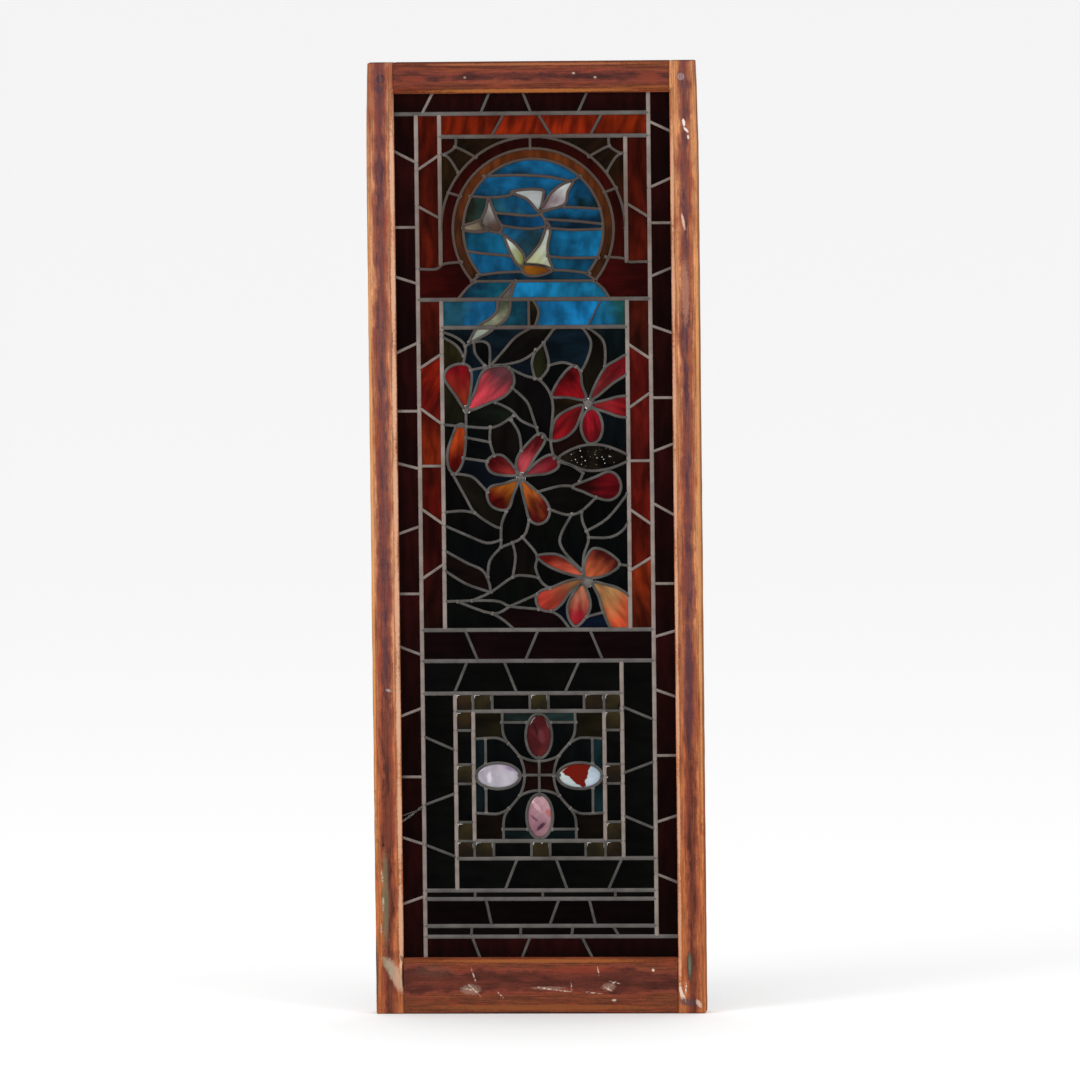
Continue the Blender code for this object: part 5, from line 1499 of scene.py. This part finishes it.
STILE_TONES, RIGHT_TONES = ("#b8805a", "#95583a", "#a85c2a"), ("#b87c50", "#9a5c3a", "#a65a2a")
TOP_TONES, LOW_TONES = ("#85461f", "#5e2613", "#7c3d20"), ("#773a1c", "#582616", "#6e351a")
wood_finish = {
    "stile_left": wood("wood_stile_left", True, STILE_TONES, -0.2125, 0.010, [
        # The strips along the chamfer beside the glass are painted light.
        (-196, z, 100, 3.6, 90, PAINTED_CHAMFER_LIGHT, 0.9) for z in range(120, 1300, 150)] + [
        (-229, 700, 620, 2.6, 90, GOLD, 0.7), (-204, 54, 34, 10, 66, "#b89880", 0.7),
        (-214, 66, 22, 6, 60, "#8f8a72", 0.6), (-217, 160, 85, 6, 90, MOSS, 0.6),
        (-221, 192, 12, 1.9, 84, "#aab39a", 0.8), (-220, 154, 14, 1.9, 92, "#aab39a", 0.7),
        (-223, 118, 10, 1.8, 90, "#aab39a", 0.6), (-219, 238, 3, 3, 0, "#2c1410", 0.7),
        # The dark strip low on the outer left edge is painted shade.
        (-230, 60, 60, 2, 90, "#3c3430", 0.8),
        (-209, 455, 5, 2.5, 20, "#9a9894", 0.7), (-213, 500, 40, 4, 90, PURPLE, 0.5),
        (-193.5, 55, 24, 2, 90, "#2c1410", 0.9), (-194, 76, 8, 3, 60, "#2c1410", 0.6),
        (-212, 1296, 9, 6, 90, "#4a3034", 0.7)], PURPLE),
    "stile_right": wood("wood_stile_right", True, RIGHT_TONES, 0.2135, 0.0085, [
        # The strips along the chamfer beside the glass are painted light.
        (196, z, 100, 3.0, 90, PAINTED_CHAMFER_LIGHT, 0.7) for z in range(120, 1300, 150)] + [
        (229, 700, 620, 2.6, 90, GOLD, 0.6),
        (212, 455, 105, 9, 90, PURPLE, 0.6), (213, 1010, 55, 7, 90, "#b27f66", 0.45),
        (213, 1246, 7, 2.6, 80, "#e2d6cc", 0.85), (216, 1236, 6, 2.2, 45, "#e2d6cc", 0.8),
        (219, 1226, 4, 2.0, 80, "#d9c9bc", 0.8), (209.5, 67, 27, 4.8, 90, "#33352b", 0.95),
        (209.5, 68, 22, 2.8, 90, "#686754", 0.8), (197, 30, 15, 2.6, 80, CREAM, 0.7),
        (201, 24, 11, 1.7, 70, CREAM, 0.9), (204, 36, 12, 1.6, 95, CREAM, 0.8),
        (206, 16, 16, 7, 10, SMOKE, 0.7), (222, 14, 8, 4, 60, "#c9b29c", 0.7),
        (211, 1108, 14, 2.4, 80, "#d9b7a0", 0.7)], PURPLE),
    "rail_top": wood("wood_rail_top", False, TOP_TONES, 1.312, 0.009, [
        # The first strip, on the chamfer beside the glass, is painted light.
        (0, 1292, 190, 3.4, 0, "#a8662f", 0.8), (0, 1329, 190, 2.4, 0, "#9c5c34", 0.7),
        (60, 1316, 2.4, 2, 0, CREAM, 0.4), (-92, 1311, 2.4, 2, 0, CREAM, 0.25),
        (90, 1310, 2.4, 2, 0, CREAM, 0.35), (165, 1310, 22, 8, 0, RUST, 0.7),
        (-165, 1310, 26, 6, 0, RUST, 0.7)], "#351514"),
    "rail_bottom": wood("wood_rail_bottom", False, LOW_TONES, 0.046, 0.020, [
        # The first strip, on the chamfer beside the glass, is painted light.
        (0, 74, 190, 3, 0, "#9a5626", 0.7), (0, 9, 190, 5, 0, "#86481c", 0.7),
        (-150, 60, 34, 12, 0, "#5a4034", 0.3), (60, 62, 60, 6, 0, "#842f18", 0.6),
        (158, 61, 2.4, 2.4, 0, "#efe0c4", 0.6), (103, 19, 4, 2, 0, CREAM, 0.5),
        (10, 36, 30, 3, 0, "#a08070", 0.4), (96, 38, 12, 7, 0, "#a88470", 0.4),
        # The dark line along the very foot is painted shadow.
        (-98, 34, 18, 9, 0, "#a08474", 0.4), (0, 1, 190, 2.0, 0, "#2c1610", 0.8)] + [
        scratch(*ends) for ends in (
            (-98, 66, -90, 42), (-112, 37, -86, 31), (-104, 44, -84, 24), (-8, 38, 22, 33),
            (16, 34, 44, 31), (42, 46, 44, 31), (60, 31, 86, 28), (92, 34, 106, 46),
            (96, 46, 112, 42), (88, 38, 100, 32), (80, 66, 82, 54), (-60, 30, -52, 22))]),
}
plain_wood = wood("wood_beads", True, STILE_TONES)
peg_finish = {"peg_left": wood("wood_peg_left", True, ("#5a3f44", "#4a3138", "#4a3138")),
              "peg_right": wood("wood_peg_right", True, ("#8d6f70", "#7a5c5e", "#7a5c5e"))}
for name, solid in frame["nodes"].items():
    if name.startswith(("bead", "peg")):
        solid.data.materials.clear()
        solid.data.materials.append(peg_finish.get(name, plain_wood))
print("wood finishes:", len(wood_finish) + len(peg_finish) + 1)

# %% [markdown]
# ### Worn edges
# The outer arrises have been knocked and planed back by use. Each member is cut into short lengths,
# its outer edges are rounded, and then its outer faces are moved in by up to WORN_BACK, by a
# smooth noise. At the top corners the stiles are worn back further.

# %% Worn members
OUTSIDE, FOOT, HEAD = stile[1].x / MM, rail[0].z / MM, cad_box[1].z / MM
STATION, ROUNDED, WORN_BACK, WORN_TOP, TOP_REACH = 16.0, 1.3, 0.8, 3.0, 170.0


def on_outside(vert, slack=0.05):
    x, _, z = vert.co
    return abs(x) > OUTSIDE - slack or z < FOOT + slack or z > HEAD - slack


def worn_member(name):
    mesh = bmesh.new()
    mesh.from_mesh(frame["nodes"][name].data)
    bmesh.ops.scale(mesh, vec=(1 / MM, 1 / MM, 1 / MM), verts=mesh.verts)
    bmesh.ops.remove_doubles(mesh, verts=mesh.verts, dist=0.001)
    bmesh.ops.dissolve_limit(mesh, angle_limit=0.02, verts=mesh.verts, edges=mesh.edges)
    upright = name.startswith("stile")
    depth = max(v.co.y for v in mesh.verts)
    rims = [e for e in mesh.edges if all(on_outside(v) and abs(abs(v.co.y) - depth) < 0.05
                                         for v in e.verts)]
    bmesh.ops.bevel(mesh, geom=rims, offset=ROUNDED, affect="EDGES", segments=2, profile=0.5,
                    material=-1)
    axis = Vector((0, 0, 1)) if upright else Vector((1, 0, 0))
    low, high = (min(v.co.dot(axis) for v in mesh.verts), max(v.co.dot(axis) for v in mesh.verts))
    for step in range(1, int((high - low) / STATION)):
        bmesh.ops.bisect_plane(mesh, geom=[*mesh.verts, *mesh.edges, *mesh.faces],
                               plane_co=axis * (low + step * STATION), plane_no=axis)
    for vert in mesh.verts:
        x, _, z = vert.co
        back = WORN_BACK * (0.5 + 0.5 * noise.noise(Vector((x, 0, z)) / 30))
        if abs(x) > OUTSIDE - ROUNDED - 0.1:
            top = max(0.0, z - HEAD + TOP_REACH) / TOP_REACH
            vert.co.x -= math.copysign(back + WORN_TOP * top**2, x)
        if z < FOOT + ROUNDED + 0.1:
            vert.co.z += back
    settled(mesh, f"worn_{name}", [name], wood_finish[name], smooth=False)


for name in wood_finish:
    worn_member(name)
print("worn members:", len(wood_finish))

# %% [markdown]
# ## Floor, light and camera
# The sash stands on a wide pale floor. Large soft lamps stand to both sides of the camera, out of
# the way of the mirror line, so that the dark glass stays dark. The surroundings are pale too, but
# they show less in reflections.

# %% Floor and surroundings
ground = bmesh.new()
bmesh.ops.create_grid(ground, x_segments=1, y_segments=1, size=1.0)
bmesh.ops.scale(ground, vec=(60, 40, 1), verts=ground.verts)
bmesh.ops.translate(ground, vec=(0, 36, cad_box[0][2]), verts=ground.verts)
floor_data = bpy.data.meshes.new("floor")
ground.to_mesh(floor_data)
ground.free()
floor_paper, tree, shader = new_material("floor_paper", 0.9, 0.1)
shader.inputs["Base Color"].default_value = (0.95, 0.95, 0.95, 1)
floor_data.materials.append(floor_paper)
floor = linked("floor", floor_data)
floor.visible_glossy = False

world = bpy.data.worlds.new("studio")
bpy.context.scene.world = world
world.use_nodes = True
tree = world.node_tree
backdrop = tree.nodes["Background"]
rays = node(tree, "ShaderNodeLightPath").outputs
dim = times(tree, rays["Is Glossy Ray"], -0.93)
tree.links.new(maths(tree, "ADD", dim, 1.0), backdrop.inputs["Strength"])
backdrop.inputs["Color"].default_value = (1, 1, 1, 1)
print("floor and surroundings are set")

# %% [markdown]
# ### Lamps
# The left lamp is the stronger, so that the wood has a lit side and a shaded one.

# %% Lamps
def lamp(name, place, target, size, power):
    """A square soft lamp that points at the target."""
    light = bpy.data.lights.new(name, "AREA")
    light.shape, light.size, light.energy = "SQUARE", size, power
    lamp_object = linked(name, light)
    lamp_object.location = place
    aim = Vector(target) - Vector(place)
    lamp_object.rotation_euler = aim.to_track_quat("-Z", "Y").to_euler()


chest = (0, 0, 0.7)
lamp("lamp_left", (-3.4, -3.6, 2.6), chest, 2.0, 90)
lamp("lamp_right", (3.6, -3.0, 2.0), chest, 2.0, 50)
print("lamps: 2")

# %% [markdown]
# ### Camera
# A long lens from far away, a little to the right of the sash and a little above its middle.

# %% Camera
LENS, SENSOR = 400.0, 36.0
AZIMUTH, ELEVATION, ROLL = 4.95, 4.27, -0.641
DISTANCE, SIDE_SHIFT, UP_SHIFT = 16.745, 0.0040, -0.0007
target = Vector((0, cad_box[0][1], 0.666))
turn, lift, roll = (math.radians(a) for a in (AZIMUTH, ELEVATION, ROLL))
outward = Vector((math.sin(turn) * math.cos(lift), -math.cos(turn) * math.cos(lift),
                  math.sin(lift)))
right = (-outward).cross(Vector((0, 0, 1))).normalized()
up = right.cross(-outward)
rolled_right = math.cos(roll) * right + math.sin(roll) * up
rolled_up = -math.sin(roll) * right + math.cos(roll) * up
lens = bpy.data.cameras.new("camera")
lens.lens, lens.sensor_width, lens.clip_end = LENS, SENSOR, 300.0
lens.shift_x, lens.shift_y = SIDE_SHIFT, UP_SHIFT
camera = linked("camera", lens)
camera.matrix_world = (Matrix.Translation(target + outward * DISTANCE)
                       @ Matrix((rolled_right, rolled_up, outward)).transposed().to_4x4())
bpy.context.scene.camera = camera
bpy.context.scene.view_settings.view_transform = "Standard"
print("camera height:", round(camera.matrix_world.translation.z, 2), "m")
